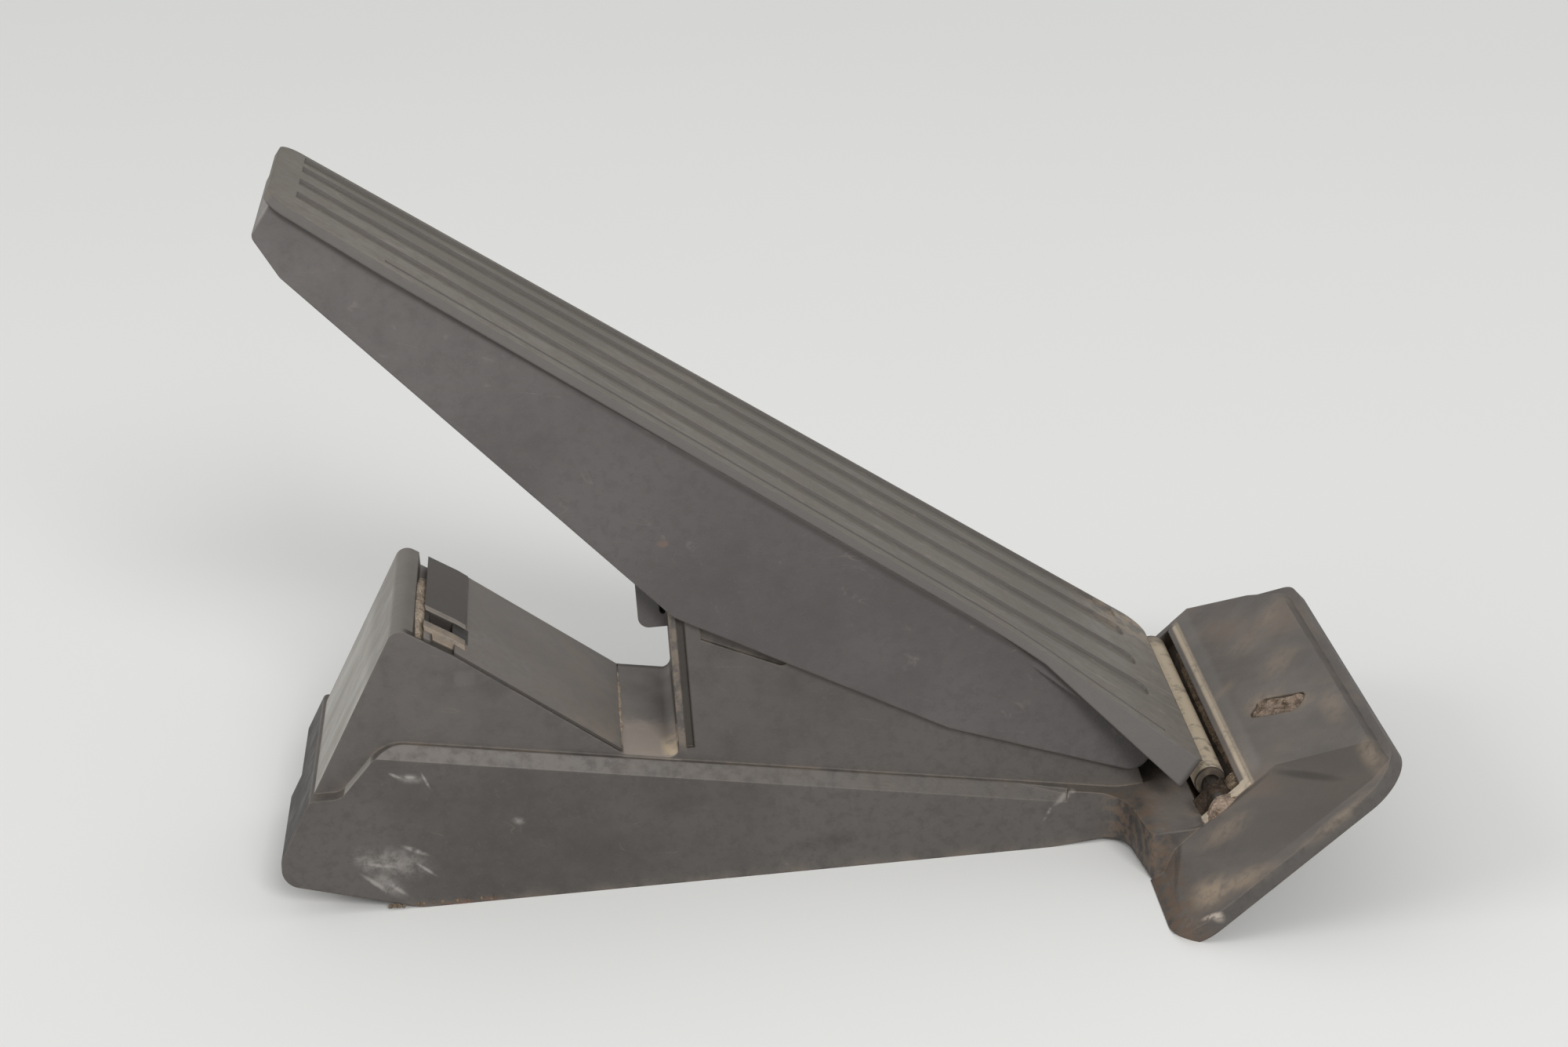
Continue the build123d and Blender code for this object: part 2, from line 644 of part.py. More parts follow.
def sensor_cover():
    """Upright partition that closes the board's space and carries the far bush."""
    front = cavity_front + PART_GAP
    high = screw_places[0][1] + 4
    outline = [(front, FLOOR), (LEVER_X + 20, FLOOR), (LEVER_X + 20, 14), (LEVER_X + 9, high), (front, high)]
    body = prism(outline, COVER_NEAR, cover_far)
    boss = SHAFT_RADIUS + BUSH_WALL + BOSS_WALL
    body += rod(LEVER_X, LEVER_Z, boss, COVER_NEAR, COVER_NEAR + BUSH_LENGTH + 1.5)
    body -= rod(LEVER_X, LEVER_Z, SHAFT_RADIUS + BUSH_WALL + PRESS_GAP, COVER_NEAR - 1, COVER_NEAR + BUSH_LENGTH)
    for x, z in screw_places:
        body -= rod(x, z, SCREW_RADIUS + PART_GAP, COVER_NEAR - 1, cover_far + 1)
    return body


def cover_screws():
    """Pan-head screws of the sensor cover, as separate solids."""
    screws = []
    for x, z in screw_places:
        head = rod(x, z, SCREW_HEAD, COVER_NEAR - SCREW_HEAD_HEIGHT, COVER_NEAR)
        screws.append(head + rod(x, z, SCREW_RADIUS, COVER_NEAR - 0.5, COVER_NEAR + SCREW_LENGTH))
    return Compound(screws)


def circuit_board():
    """Long narrow board along the far wall."""
    return block(BOARD_FRONT, BOARD_HEEL, BOARD_NEAR, board_far, BOARD_LOW, BOARD_HIGH)


def hall_sensors():
    """Two sensor chips on the board, facing the magnet's path."""
    chips = []
    for z in (BOARD_LOW + 4.5, BOARD_HIGH - 5.5):
        chips.append(block(BOARD_HEEL - 5.2, BOARD_HEEL - 1.2, BOARD_NEAR - 1.5, BOARD_NEAR, z - 1.6, z + 1.6))
    return Compound(chips)


def connector_pins():
    """Contact pins from the board into the socket, as separate solids."""
    half = PIN_SIZE / 2
    pins = []
    for x, z in pin_places:
        pins.append(block(x - half, x + half, board_far, half_lower + PIN_REACH, z - half, z + half))
    return Compound(pins)


def shaft_bush(y_low):
    """Plain bush of the lever shaft."""
    sleeve = rod(LEVER_X, LEVER_Z, SHAFT_RADIUS + BUSH_WALL, y_low, y_low + BUSH_LENGTH)
    return sleeve - rod(LEVER_X, LEVER_Z, SHAFT_RADIUS + RUNNING_GAP, y_low - 1, y_low + BUSH_LENGTH + 1)


def return_spring(y_start, side):
    """Torsion spring on the lever's hub, wound along +Y (side 1) or -Y (side -1)."""
    turn = SPRING_TURNS * 360 + 180 - LEVER_ANGLE
    steps = round(turn / 360 * SPRING_STEPS)
    coil = []
    for step in range(steps + 1):
        angle = turn * step / steps
        x, z = polar(LEVER_X, LEVER_Z, SPRING_RADIUS, 270 - angle)
        coil.append((x, y_start + side * SPRING_PITCH * angle / 360, z))
    x, y, z = coil[-1]
    end_x, end_z = polar(x, z, PEG_REACH + 4, LEVER_ANGLE)
    path = Polyline((LEVER_X + SPRING_LEG, y_start, LEVER_Z - SPRING_RADIUS), *coil, (end_x, y, end_z))
    section = Plane(origin=path @ 0, z_dir=path % 0) * RegularPolygon(SPRING_WIRE / 2, 6)
    return sweep(section, path=path, transition=Transition.RIGHT)


def hinge_pin():
    """Steel pin of the pedal hinge."""
    return rod(hinge_x, hinge_z, HINGE_PIN_RADIUS, trough_near - 1.8, block_far - 0.5)


def stop_buffers():
    """Rubber caps on the cross wall that meet the fully pressed carrier."""
    caps = []
    seat = wall_top_z(cavity_front) - BUFFER_SEAT
    top = wall_top_z(cavity_front + BUFFER_WALL)
    for y in buffer_places:
        low = y - BUFFER_WIDTH / 2
        high = y + BUFFER_WIDTH / 2
        cap = block(cross_wall - BUFFER_WALL, cavity_front + BUFFER_WALL, low, high, seat - 2, top)
        cap -= block(cross_wall, cavity_front, low - 1, high + 1, seat - 3, seat)
        caps.append(cap)
    return Compound(caps)


# Drive lever, modelled at rest
tip_x, tip_z = polar(LEVER_X, LEVER_Z, LEVER_ARM, LEVER_ANGLE)
tip_radius = SHOE_RADIUS - SHOE_WALL


def peg_place():
    """Middle of the peg that rests on the spring's moving leg."""
    offset = SPRING_RADIUS - SPRING_WIRE / 2 - PEG_RADIUS - RUNNING_GAP
    x, z = polar(LEVER_X, LEVER_Z, PEG_REACH, LEVER_ANGLE)
    return polar(x, z, offset, LEVER_ANGLE + 90)


def drive_lever():
    """Lever with its hub, arm, spring pegs and the magnet's flange."""
    arm = [
        polar(LEVER_X, LEVER_Z, HUB_RADIUS, LEVER_ANGLE + 90),
        polar(LEVER_X, LEVER_Z, HUB_RADIUS, LEVER_ANGLE - 90),
        polar(tip_x, tip_z, tip_radius * 0.75, LEVER_ANGLE - 90),
        polar(tip_x, tip_z, tip_radius * 0.75, LEVER_ANGLE + 90),
    ]
    body = prism(arm, LEVER_NEAR, LEVER_FAR)
    body += rod(LEVER_X, LEVER_Z, HUB_RADIUS + 1.5, LEVER_NEAR, LEVER_FAR)
    body += rod(tip_x, tip_z, tip_radius, LEVER_NEAR, LEVER_FAR)
    body += rod(LEVER_X, LEVER_Z, HUB_RADIUS, HUB_NEAR, HUB_FAR)
    peg_x, peg_z = peg_place()
    body += rod(peg_x, peg_z, PEG_RADIUS, SPRING_NEAR + 1.5, SPRING_FAR - 1.5)
    reach = MAGNET_ORBIT + MAGNET_WIDTH / 2 + 1.5
    flange = [
        polar(LEVER_X, LEVER_Z, HUB_RADIUS, MAGNET_ANGLE - 90),
        polar(LEVER_X, LEVER_Z, reach, MAGNET_ANGLE - 17),
        polar(LEVER_X, LEVER_Z, reach, MAGNET_ANGLE + 17),
        polar(LEVER_X, LEVER_Z, HUB_RADIUS, MAGNET_ANGLE + 90),
    ]
    body += prism(flange, HUB_FAR - FLANGE, HUB_FAR, [0, 2, 2, 0])
    body -= magnet_block(PRESS_GAP, HUB_FAR + 1)
    return body - rod(LEVER_X, LEVER_Z, SHAFT_RADIUS + PRESS_GAP, HUB_NEAR - 1, HUB_FAR + 1)


def magnet_block(gap, y_high):
    """Square magnet in the lever's flange, or its pocket with a gap around it."""
    x, z = polar(LEVER_X, LEVER_Z, MAGNET_ORBIT, MAGNET_ANGLE)
    half = MAGNET_WIDTH / 2 + gap
    body = block(-half, half, HUB_FAR - MAGNET_DEPTH, y_high, -half, half)
    return Pos(x, 0, z) * Rot(0, -MAGNET_ANGLE, 0) * body


def lever_shaft():
    """Steel shaft that turns with the lever."""
    return rod(
        LEVER_X, LEVER_Z, SHAFT_RADIUS, -inner_upper + PART_GAP, COVER_NEAR + BUSH_LENGTH - PART_GAP
    )


def glide_shoe():
    """Sliding cap clipped over the lever's tip, open towards the arm."""
    shoe = rod(tip_x, tip_z, SHOE_RADIUS, LEVER_NEAR - 1, LEVER_FAR + 1)
    shoe -= rod(tip_x, tip_z, tip_radius + PRESS_GAP, LEVER_NEAR - 2, LEVER_FAR + 2)
    inward = LEVER_ANGLE + 180
    mouth = [
        (tip_x, tip_z),
        polar(tip_x, tip_z, 2 * SHOE_RADIUS, inward - SHOE_MOUTH / 2),
        polar(tip_x, tip_z, 3 * SHOE_RADIUS, inward),
        polar(tip_x, tip_z, 2 * SHOE_RADIUS, inward + SHOE_MOUTH / 2),
    ]
    return shoe - prism(mouth, LEVER_NEAR - 2, LEVER_FAR + 2)


# Pedal, modelled from its hinge axis and then placed
def carrier_profile():
    """Side outline of the skirted carrier."""
    return [
        (tread_tip + 1.0, tread_under),
        (tread_tip + 1.4, tread_under - SKIRT_TIP_DEPTH),
        (tread_tip + SKIRT_CHIN, tread_under - SKIRT_CHIN_DEPTH),
        (-SKIRT_KNEE, tread_under - SKIRT_KNEE_DEPTH),
        (-SKIRT_HIP, tread_under - SKIRT_HIP_DEPTH),
        (-SKIRT_END, tread_under - SKIRT_END_DEPTH),
        (-SKIRT_END + 1.5, tread_under),
    ]


def tread_plan(inset, past=0):
    """Outline of the tread seen square to it, set in at the tip and the sides or drawn on past the heel."""
    flare = (TREAD_HEEL_NEAR - TREAD_NEAR) / (TREAD_TURN - TREAD_OFFSET)
    spread = (TREAD_HEEL_FAR - TREAD_TIP_FAR) / TREAD_LENGTH
    return [
        (tread_tip + inset, -TREAD_TIP_NEAR + inset),
        (tread_tip + TREAD_NOSE, -TREAD_NEAR + inset),
        (-TREAD_TURN, -TREAD_NEAR + inset),
        (tread_heel + past, -TREAD_HEEL_NEAR + inset - past * flare),
        (tread_heel + past, TREAD_HEEL_FAR - inset + past * spread),
        (tread_tip + inset, TREAD_TIP_FAR - inset),
    ]


def shoe_path():
    """Places of the lever's shoe over the whole travel, as the pedal sees them."""
    steps = 6
    places = []
    for step in range(steps + 1):
        press = PEDAL_TRAVEL * step / steps
        x, z = polar(LEVER_X, LEVER_Z, LEVER_ARM, LEVER_ANGLE + LEVER_RATIO * press)
        reach = math.hypot(x - hinge_x, z - hinge_z)
        angle = math.degrees(math.atan2(z - hinge_z, x - hinge_x))
        places.append(polar(0, 0, reach, angle - press + TREAD_ANGLE))
    return places


def track_rib():
    """Rib with a flat track that clears the lever's shoe over the whole travel."""
    path = shoe_path()
    track = max(h for x, h in path) + SHOE_RADIUS + PART_GAP
    front = min(x for x, h in path) - 4
    back = max(x for x, h in path) + 4
    root = plate_under + PLATE / 2
    outline = [(front - 10, root), (front, track), (back, track), (back + 12, root)]
    return prism(outline, LEVER_NEAR - 1.5, LEVER_FAR + 1.5, [0, 2, 2, 0])


def carrier_shell():
    """Tapered channel under the top plate, open downwards and at the heel."""
    depth = -60
    tip = tread_tip + 1.0
    outlines = []
    for start, end, wall in ((tip, -SKIRT_END + 3, 0), (tip + SKIRT, 20, SKIRT)):
        outlines.append([
            (start, -SKIRT_TIP_NEAR + wall),
            (-SKIRT_BEND, -skirt_outer + wall),
            (end, -skirt_outer + wall),
            (end, skirt_outer - wall),
            (-SKIRT_BEND, skirt_outer - wall),
            (start, SKIRT_TIP_FAR - wall),
        ])
    outer, inner = outlines
    shell = prism(carrier_profile(), -skirt_outer, skirt_outer, [0, 2, 3, 8, 12, 4, 0])
    shell &= plan(outer, depth, tread_under)
    return shell - plan(inner, depth, plate_under)


def carrier_wings():
    """Widening of the top plate under the heel end of the tread."""
    back = tread_heel - 1
    front = -SKIRT_BEND + 10
    inset = TREAD_RIM + PART_GAP
    wings = plan(tread_plan(inset), plate_under, tread_under)
    return wings & block(front, back, -TREAD_HEEL_NEAR, TREAD_HEEL_NEAR, plate_under, tread_under)


def stud_places():
    """Places of the tread's fixing studs on the carrier's plate."""
    return [(tread_tip + 22, 0), (-140, -13), (-140, 13), (-SKIRT_HIP - 6, -16), (-SKIRT_HIP - 6, 16)]


def pedal_carrier():
    """Skirted carrier with its hinge barrel, track rib, stiffening ribs and hook."""
    body = carrier_shell() + carrier_wings()
    half_barrel = BARREL_LENGTH / 2
    half_neck = TREAD_HEEL_FAR - TREAD_RIM - 2
    body += block(tread_heel - 2, 0, -half_neck, half_neck, plate_under, tread_under)
    body += rod(0, 0, BARREL_RADIUS, -half_barrel, half_barrel)
    body -= rod(0, 0, HINGE_PIN_RADIUS + PART_GAP, -half_barrel - 1, half_barrel + 1)
    for side in (-1, 1):
        inner_end = side * (half_barrel - HINGE_BUSH_LENGTH)
        ends = sorted((inner_end, side * (half_barrel + 1)))
        body -= rod(0, 0, HINGE_BUSH_RADIUS + PRESS_GAP, ends[0], ends[1])
    body += track_rib()
    for x, drop in ((tread_tip + 40, 7), (tread_tip + 70, 11)):
        body += block(x, x + 2, -skirt_outer + 6, skirt_outer - 6, plate_under - drop, plate_under + 0.5)
    for x, y in stud_places():
        half = STUD_HALF + PART_GAP
        body -= block(x - half, x + half, y - half, y + half, plate_under - PLATE, tread_under + 1)
    return pedal.location * body + hook()


def hook():
    """J-shaped hook that reaches through the slot of the cross wall and holds the pedal up."""
    left = cross_wall - HOOK_REACH
    right = left + HOOK_THICKNESS
    toe = cavity_front - 0.8
    low = HOOK_SLOT_TOP - HOOK_DROP
    slope = math.radians(TREAD_ANGLE)
    root = hinge_z + (hinge_x - left) * math.tan(slope) + (plate_under + PLATE / 2) / math.cos(slope)
    outline = [
        (left, root),
        (left, low),
        (toe, low),
        (toe, HOOK_SLOT_TOP - 0.5),
        (toe - HOOK_TOE, HOOK_SLOT_TOP - 0.5),
        (toe - HOOK_TOE, low + 2.6),
        (right, low + 2.6),
        (right, root - HOOK_THICKNESS * math.tan(slope)),
    ]
    radii = [0, 2.2, 2, 0.8, 0.8, 0, 0.8, 0]
    return prism(outline, HOOK_ACROSS - HOOK_WIDTH / 2, HOOK_ACROSS + HOOK_WIDTH / 2, radii)


def pedal_tread():
    """Ribbed cap with a rim that deepens towards the heel and studs into the carrier."""
    rim_low = TREAD_RISE - RIM_DEPTH
    side = [
        (tread_tip - 1, TREAD_RISE),
        (tread_heel + 1, TREAD_RISE),
        (tread_heel + 1, rim_low),
        (tread_heel, rim_low),
        (-RIM_START, tread_under),
        (tread_tip - 1, tread_under),
    ]
    corner = TREAD_CORNER
    bend = TREAD_BEND_RADIUS
    rounds = [corner, bend, bend, TREAD_NEAR_CORNER, corner, corner]
    body = plan(tread_plan(0), rim_low - 1, TREAD_RISE, rounds)
    body &= prism(side, -2 * TREAD_HEEL_NEAR, 2 * TREAD_HEEL_NEAR)
    body -= plan(tread_plan(TREAD_RIM, TREAD_OFFSET), rim_low - 2, tread_under, [0, bend, bend, 0, 0, 0])
    start = tread_tip + GROOVE_MARGIN_TIP
    stop = tread_heel - GROOVE_MARGIN_HEEL
    soft = GROOVE_HEEL_WIDTH / 3
    for tip_y, heel_y in zip(GROOVE_TIPS, GROOVE_HEELS):
        outline = [
            (start, tip_y - GROOVE_TIP_WIDTH / 2),
            (stop, heel_y - GROOVE_HEEL_WIDTH / 2),
            (stop, heel_y + GROOVE_HEEL_WIDTH / 2),
            (start, tip_y + GROOVE_TIP_WIDTH / 2),
        ]
        body -= plan(outline, TREAD_RISE - GROOVE_DEPTH, TREAD_RISE + 1, [0, soft, soft, 0])
    edge = [(x, y + EDGE_LINE) for x, y in tread_plan(0)[1:4]]
    edge[-1] = (stop, edge[-1][1] + 2)
    edge += [(x, y + EDGE_LINE_WIDTH) for x, y in reversed(edge)]
    body -= plan(edge, TREAD_RISE - EDGE_LINE_DEPTH, TREAD_RISE + 1, [0, bend, 0, 0, bend, 0])
    for x, y in stud_places():
        low = tread_under - STUD_LENGTH
        body += block(x - STUD_HALF, x + STUD_HALF, y - STUD_HALF, y + STUD_HALF, low, tread_under + 0.5)
    return pedal.location * body


def hinge_bush(side):
    """Flanged bush in one end of the hinge barrel."""
    end = side * BARREL_LENGTH / 2
    ends = sorted((end - side * HINGE_BUSH_LENGTH, end))
    flange = sorted((end, end + side * HINGE_FLANGE))
    body = rod(hinge_x, hinge_z, HINGE_BUSH_RADIUS, ends[0], ends[1])
    body += rod(hinge_x, hinge_z, BARREL_RADIUS - 0.2, flange[0], flange[1])
    return body - rod(hinge_x, hinge_z, HINGE_PIN_RADIUS + RUNNING_GAP, -half_trough, half_trough)


def main():
    parts = {
        "base_housing": base_housing(),
        "bay_lid": bay_lid(),
        "sensor_cover": sensor_cover(),
        "cover_screws": cover_screws(),
        "circuit_board": circuit_board(),
        "hall_sensors": hall_sensors(),
        "connector_pins": connector_pins(),
        "shaft_bush_near": shaft_bush(-inner_upper),
        "shaft_bush_far": shaft_bush(COVER_NEAR),
        "return_spring_near": return_spring(SPRING_NEAR, 1),
        "return_spring_far": return_spring(SPRING_FAR, -1),
        "hinge_pin": hinge_pin(),
        "stop_buffers": stop_buffers(),
        "pedal_carrier": pedal_carrier(),
        "pedal_tread": pedal_tread(),
        "hinge_bush_near": hinge_bush(-1),
        "hinge_bush_far": hinge_bush(1),
        "drive_lever": drive_lever(),
        "lever_shaft": lever_shaft(),
        "glide_shoe": glide_shoe(),
        "sensor_magnet": magnet_block(0, HUB_FAR),
    }
    os.makedirs("parts", exist_ok=True)
    for name, part in parts.items():
        export_step(part, f"parts/{name}.step")


main()
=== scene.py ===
import math
import random

import bmesh
import bpy
from mathutils import Matrix, Vector, noise


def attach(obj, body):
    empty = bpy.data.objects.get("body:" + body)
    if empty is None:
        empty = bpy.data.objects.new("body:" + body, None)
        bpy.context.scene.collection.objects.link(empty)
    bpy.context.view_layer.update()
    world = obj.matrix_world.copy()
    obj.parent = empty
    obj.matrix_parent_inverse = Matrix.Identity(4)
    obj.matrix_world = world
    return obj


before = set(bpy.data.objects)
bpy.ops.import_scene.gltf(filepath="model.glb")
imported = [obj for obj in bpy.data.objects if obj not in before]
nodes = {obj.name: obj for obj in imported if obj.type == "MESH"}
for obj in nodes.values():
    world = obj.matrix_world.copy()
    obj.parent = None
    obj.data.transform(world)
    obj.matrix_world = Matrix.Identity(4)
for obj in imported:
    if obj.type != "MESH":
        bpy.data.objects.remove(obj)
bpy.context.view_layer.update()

MM = 0.001
ORIGIN = (0, 0, 0)
UP = (0, 0, 1)
NEAR = (0, -1, 0)
FRONT = (-1, 0, 0)

HINGE = Vector((85.1127, 0, 14.7413)) * MM
HEEL_START = Vector((72, 0, 0)) * MM
HEEL_ANGLE = math.radians(39.6)
HEEL_UP = Vector((-math.sin(HEEL_ANGLE), 0, math.cos(HEEL_ANGLE)))
HEEL_ALONG = Vector((math.cos(HEEL_ANGLE), 0, math.sin(HEEL_ANGLE)))
TREAD_ANGLE = math.radians(36.8)
TREAD_UP = Vector((math.sin(TREAD_ANGLE), 0, math.cos(TREAD_ANGLE)))
TREAD_ALONG = Vector((math.cos(TREAD_ANGLE), 0, -math.sin(TREAD_ANGLE)))

BLOCK_TOP = 59.0
RAMP_START = -71.5
RAMP_DROP = 7.2
RAMP_RUN = 11.0
SLIT_DEPTH = 2.75
FOLD_HEIGHT = 27.55
NEAR_WALL = -26.05
LATCH = (-0.0664, -0.0585)

CAMERA_PLACE = Vector((-0.022109, -0.613990, 0.302625))
CAMERA_AIM = Vector((0.006484, 0, 0.064437))
CAMERA_ROLL = math.radians(-4.257)
CAMERA_LENS = 75.6
CAMERA_SENSOR = 36
FLOOR_REACH = 8.0
LAMP_AIM = Vector((0, 0, 0.05))
WORLD_STRENGTH = 0.6


def linear(red, green, blue):
    """Colour for a socket from 0-255 values as seen on a screen."""
    out = []
    for value in (red, green, blue):
        share = value / 255
        out.append(share / 12.92 if share < 0.04045 else ((share + 0.055) / 1.055) ** 2.4)
    return (*out, 1)


BROWN = linear(118, 103, 90)
TAN = linear(158, 141, 120)
BEIGE = linear(186, 169, 144)
PALE = linear(168, 164, 160)


def on_heel(along, across, rise):
    """Point in metres from millimetres along, across and square to the heel plate."""
    return HEEL_START + (HEEL_ALONG * along + HEEL_UP * rise) * MM + Vector((0, across, 0)) * MM


def heel_turn(degrees):
    """Turn that lays a shape on the heel plate, turned there about the plate's own upright."""
    lay = Matrix.Rotation(-HEEL_ANGLE, 3, "Y") @ Matrix.Rotation(math.radians(degrees), 3, "Z")
    return lay.to_euler()


def on_tread(along, across, rise):
    """Point in metres from millimetres along, across and square to the tread, from the hinge."""
    return HINGE + (TREAD_ALONG * along + TREAD_UP * rise) * MM + Vector((0, across, 0)) * MM


def on_ramp(along, across, rise):
    """Point in metres from millimetres along X, across and above the slit on the front block."""
    fall = BLOCK_TOP - (along - RAMP_START) * RAMP_DROP / RAMP_RUN - SLIT_DEPTH
    return Vector((along, across, fall + rise)) * MM


def on_fold(along, across, rise):
    """Point in metres from millimetres at the fold between the lid and the pocket's floor."""
    return Vector((along, across, FOLD_HEIGHT + rise)) * MM


class Shade:
    """One procedural material, built from small steps."""

    def __init__(self, name, roughness=0.6, metallic=0.0, specular=0.4):
        self.material = bpy.data.materials.new(name)
        self.material.use_nodes = True
        self.tree = self.material.node_tree
        self.tree.nodes.clear()
        self.shader = self.add("ShaderNodeBsdfPrincipled")
        self.shader.inputs["Roughness"].default_value = roughness
        self.shader.inputs["Metallic"].default_value = metallic
        self.shader.inputs["Specular IOR Level"].default_value = specular
        out = self.add("ShaderNodeOutputMaterial")
        self.link(self.shader.outputs[0], out.inputs["Surface"])
        coords = self.add("ShaderNodeTexCoord")
        self.place = coords.outputs["Object"]
        self.facing = coords.outputs["Normal"]
        split = self.add("ShaderNodeSeparateXYZ")
        self.link(self.place, split.inputs[0])
        self.x, self.y, self.z = split.outputs
        self.normal = None

    def add(self, kind, **settings):
        node = self.tree.nodes.new(kind)
        for key, value in settings.items():
            setattr(node, key, value)
        return node

    def link(self, source, socket):
        self.tree.links.new(source, socket)

    def put(self, socket, value):
        if isinstance(value, bpy.types.NodeSocket):
            self.link(value, socket)
        else:
            socket.default_value = value

    def math(self, operation, a, b=0.0):
        node = self.add("ShaderNodeMath", operation=operation)
        self.put(node.inputs[0], a)
        self.put(node.inputs[1], b)
        return node.outputs[0]

    def times(self, *values):
        total = values[0]
        for value in values[1:]:
            total = self.math("MULTIPLY", total, value)
        return total

    def most(self, *values):
        total = values[0]
        for value in values[1:]:
            total = self.math("MAXIMUM", total, value)
        return total

    def vector(self, operation, a, b=None):
        node = self.add("ShaderNodeVectorMath", operation=operation)
        self.put(node.inputs[0], a)
        if b is not None:
            self.put(node.inputs[1], b)
        return node

    def span(self, value, low, high, out_low=0.0, out_high=1.0):
        """Soft step from one output to the other while a value goes from low to high."""
        node = self.add("ShaderNodeMapRange", interpolation_type="SMOOTHSTEP")
        for socket, number in zip(node.inputs, (value, low, high, out_low, out_high)):
            self.put(socket, number)
        return node.outputs[0]

    def between(self, value, low, high, soft):
        """1 between two values, in metres or shares, with soft ends."""
        rising = self.span(value, low - soft, low + soft)
        return self.times(rising, self.span(value, high + soft, high - soft))

    def noise(self, scale, detail=3.0, roughness=0.55, place=None, distortion=0.0):
        node = self.add("ShaderNodeTexNoise")
        self.link(place or self.place, node.inputs["Vector"])
        node.inputs["Scale"].default_value = scale
        node.inputs["Detail"].default_value = detail
        node.inputs["Roughness"].default_value = roughness
        node.inputs["Distortion"].default_value = distortion
        return node.outputs["Fac"]

    def threads(self, scale, width, place):
        """Thin winding lines, as fine scratches."""
        field = self.noise(scale, 2.0, 0.5, place, distortion=1.5)
        return self.span(self.math("ABSOLUTE", self.math("SUBTRACT", field, 0.5)), width, 0.0)

    def moved(self, centre, turn, size):
        """Place as seen from a centre in metres, turned and measured in a size."""
        node = self.add("ShaderNodeMapping", vector_type="TEXTURE")
        self.link(self.place, node.inputs["Vector"])
        node.inputs["Location"].default_value = centre
        node.inputs["Rotation"].default_value = turn
        node.inputs["Scale"].default_value = size
        return node.outputs[0]

    def blob(self, centre, size, turn=ORIGIN, soft=0.6):
        """Soft ellipsoid, 1 in its middle: centre in metres, half sizes in millimetres."""
        place = self.moved(centre, turn, Vector(size) * MM)
        return self.span(self.vector("LENGTH", place).outputs["Value"], 1.0, 1.0 - soft)

    def strokes(self, places):
        """Soft strokes on a wall: x, y, z, half length, half height in mm, fall in degrees."""
        depth = 3
        marks = []
        for x, y, z, half, thick, fall in places:
            turn = (0, math.radians(fall), 0)
            marks.append(self.blob(Vector((x, y, z)) * MM, (half, depth, thick), turn, 0.9))
        return self.most(*marks)

    def mix(self, share, a, b):
        node = self.add("ShaderNodeMix", data_type="RGBA")
        self.put(node.inputs[0], share)
        self.put(node.inputs[6], a)
        self.put(node.inputs[7], b)
        return node.outputs[2]

    def coat(self, tone, colour, *masks):
        """Lays a colour over a tone where all the masks are 1."""
        return self.mix(self.times(*masks), tone, colour)

    def along(self, direction, origin):
        """Distance in metres along a direction from an origin."""
        offset = self.vector("SUBTRACT", self.place, tuple(origin)).outputs[0]
        return self.vector("DOT_PRODUCT", offset, tuple(direction)).outputs["Value"]

    def hinge_reach(self):
        """Distance in metres from the hinge's axis."""
        offset = self.vector("SUBTRACT", self.place, tuple(HINGE)).outputs[0]
        flat = self.vector("MULTIPLY", offset, (1, 0, 1)).outputs[0]
        return self.vector("LENGTH", flat).outputs["Value"]

    def towards(self, direction):
        """How far the surface faces a direction, from -1 to 1."""
        return self.vector("DOT_PRODUCT", self.facing, tuple(direction)).outputs["Value"]

    def round_edges(self, radius):
        """Softens the edges and gives a mask that is 1 on them."""
        bevel = self.add("ShaderNodeBevel", samples=6)
        bevel.inputs["Radius"].default_value = radius * MM
        flat = self.add("ShaderNodeNewGeometry").outputs["True Normal"]
        same = self.vector("DOT_PRODUCT", bevel.outputs[0], flat).outputs["Value"]
        self.normal = bevel.outputs[0]
        return self.span(same, 0.995, 0.8)

    def crevice(self, distance):
        """Mask that is 1 deep in corners."""
        node = self.add("ShaderNodeAmbientOcclusion", samples=6)
        node.inputs["Distance"].default_value = distance * MM
        return self.span(node.outputs["AO"], 0.85, 0.3)

    def bump(self, height, depth):
        """Adds relief of a depth in millimetres."""
        node = self.add("ShaderNodeBump")
        node.inputs["Distance"].default_value = depth * MM
        self.link(height, node.inputs["Height"])
        if self.normal is not None:
            self.link(self.normal, node.inputs["Normal"])
        self.normal = node.outputs[0]

    def done(self, colour, roughness=None):
        self.put(self.shader.inputs["Base Color"], colour)
        if roughness is not None:
            self.link(roughness, self.shader.inputs["Roughness"])
        if self.normal is not None:
            self.link(self.normal, self.shader.inputs["Normal"])
        return self.material


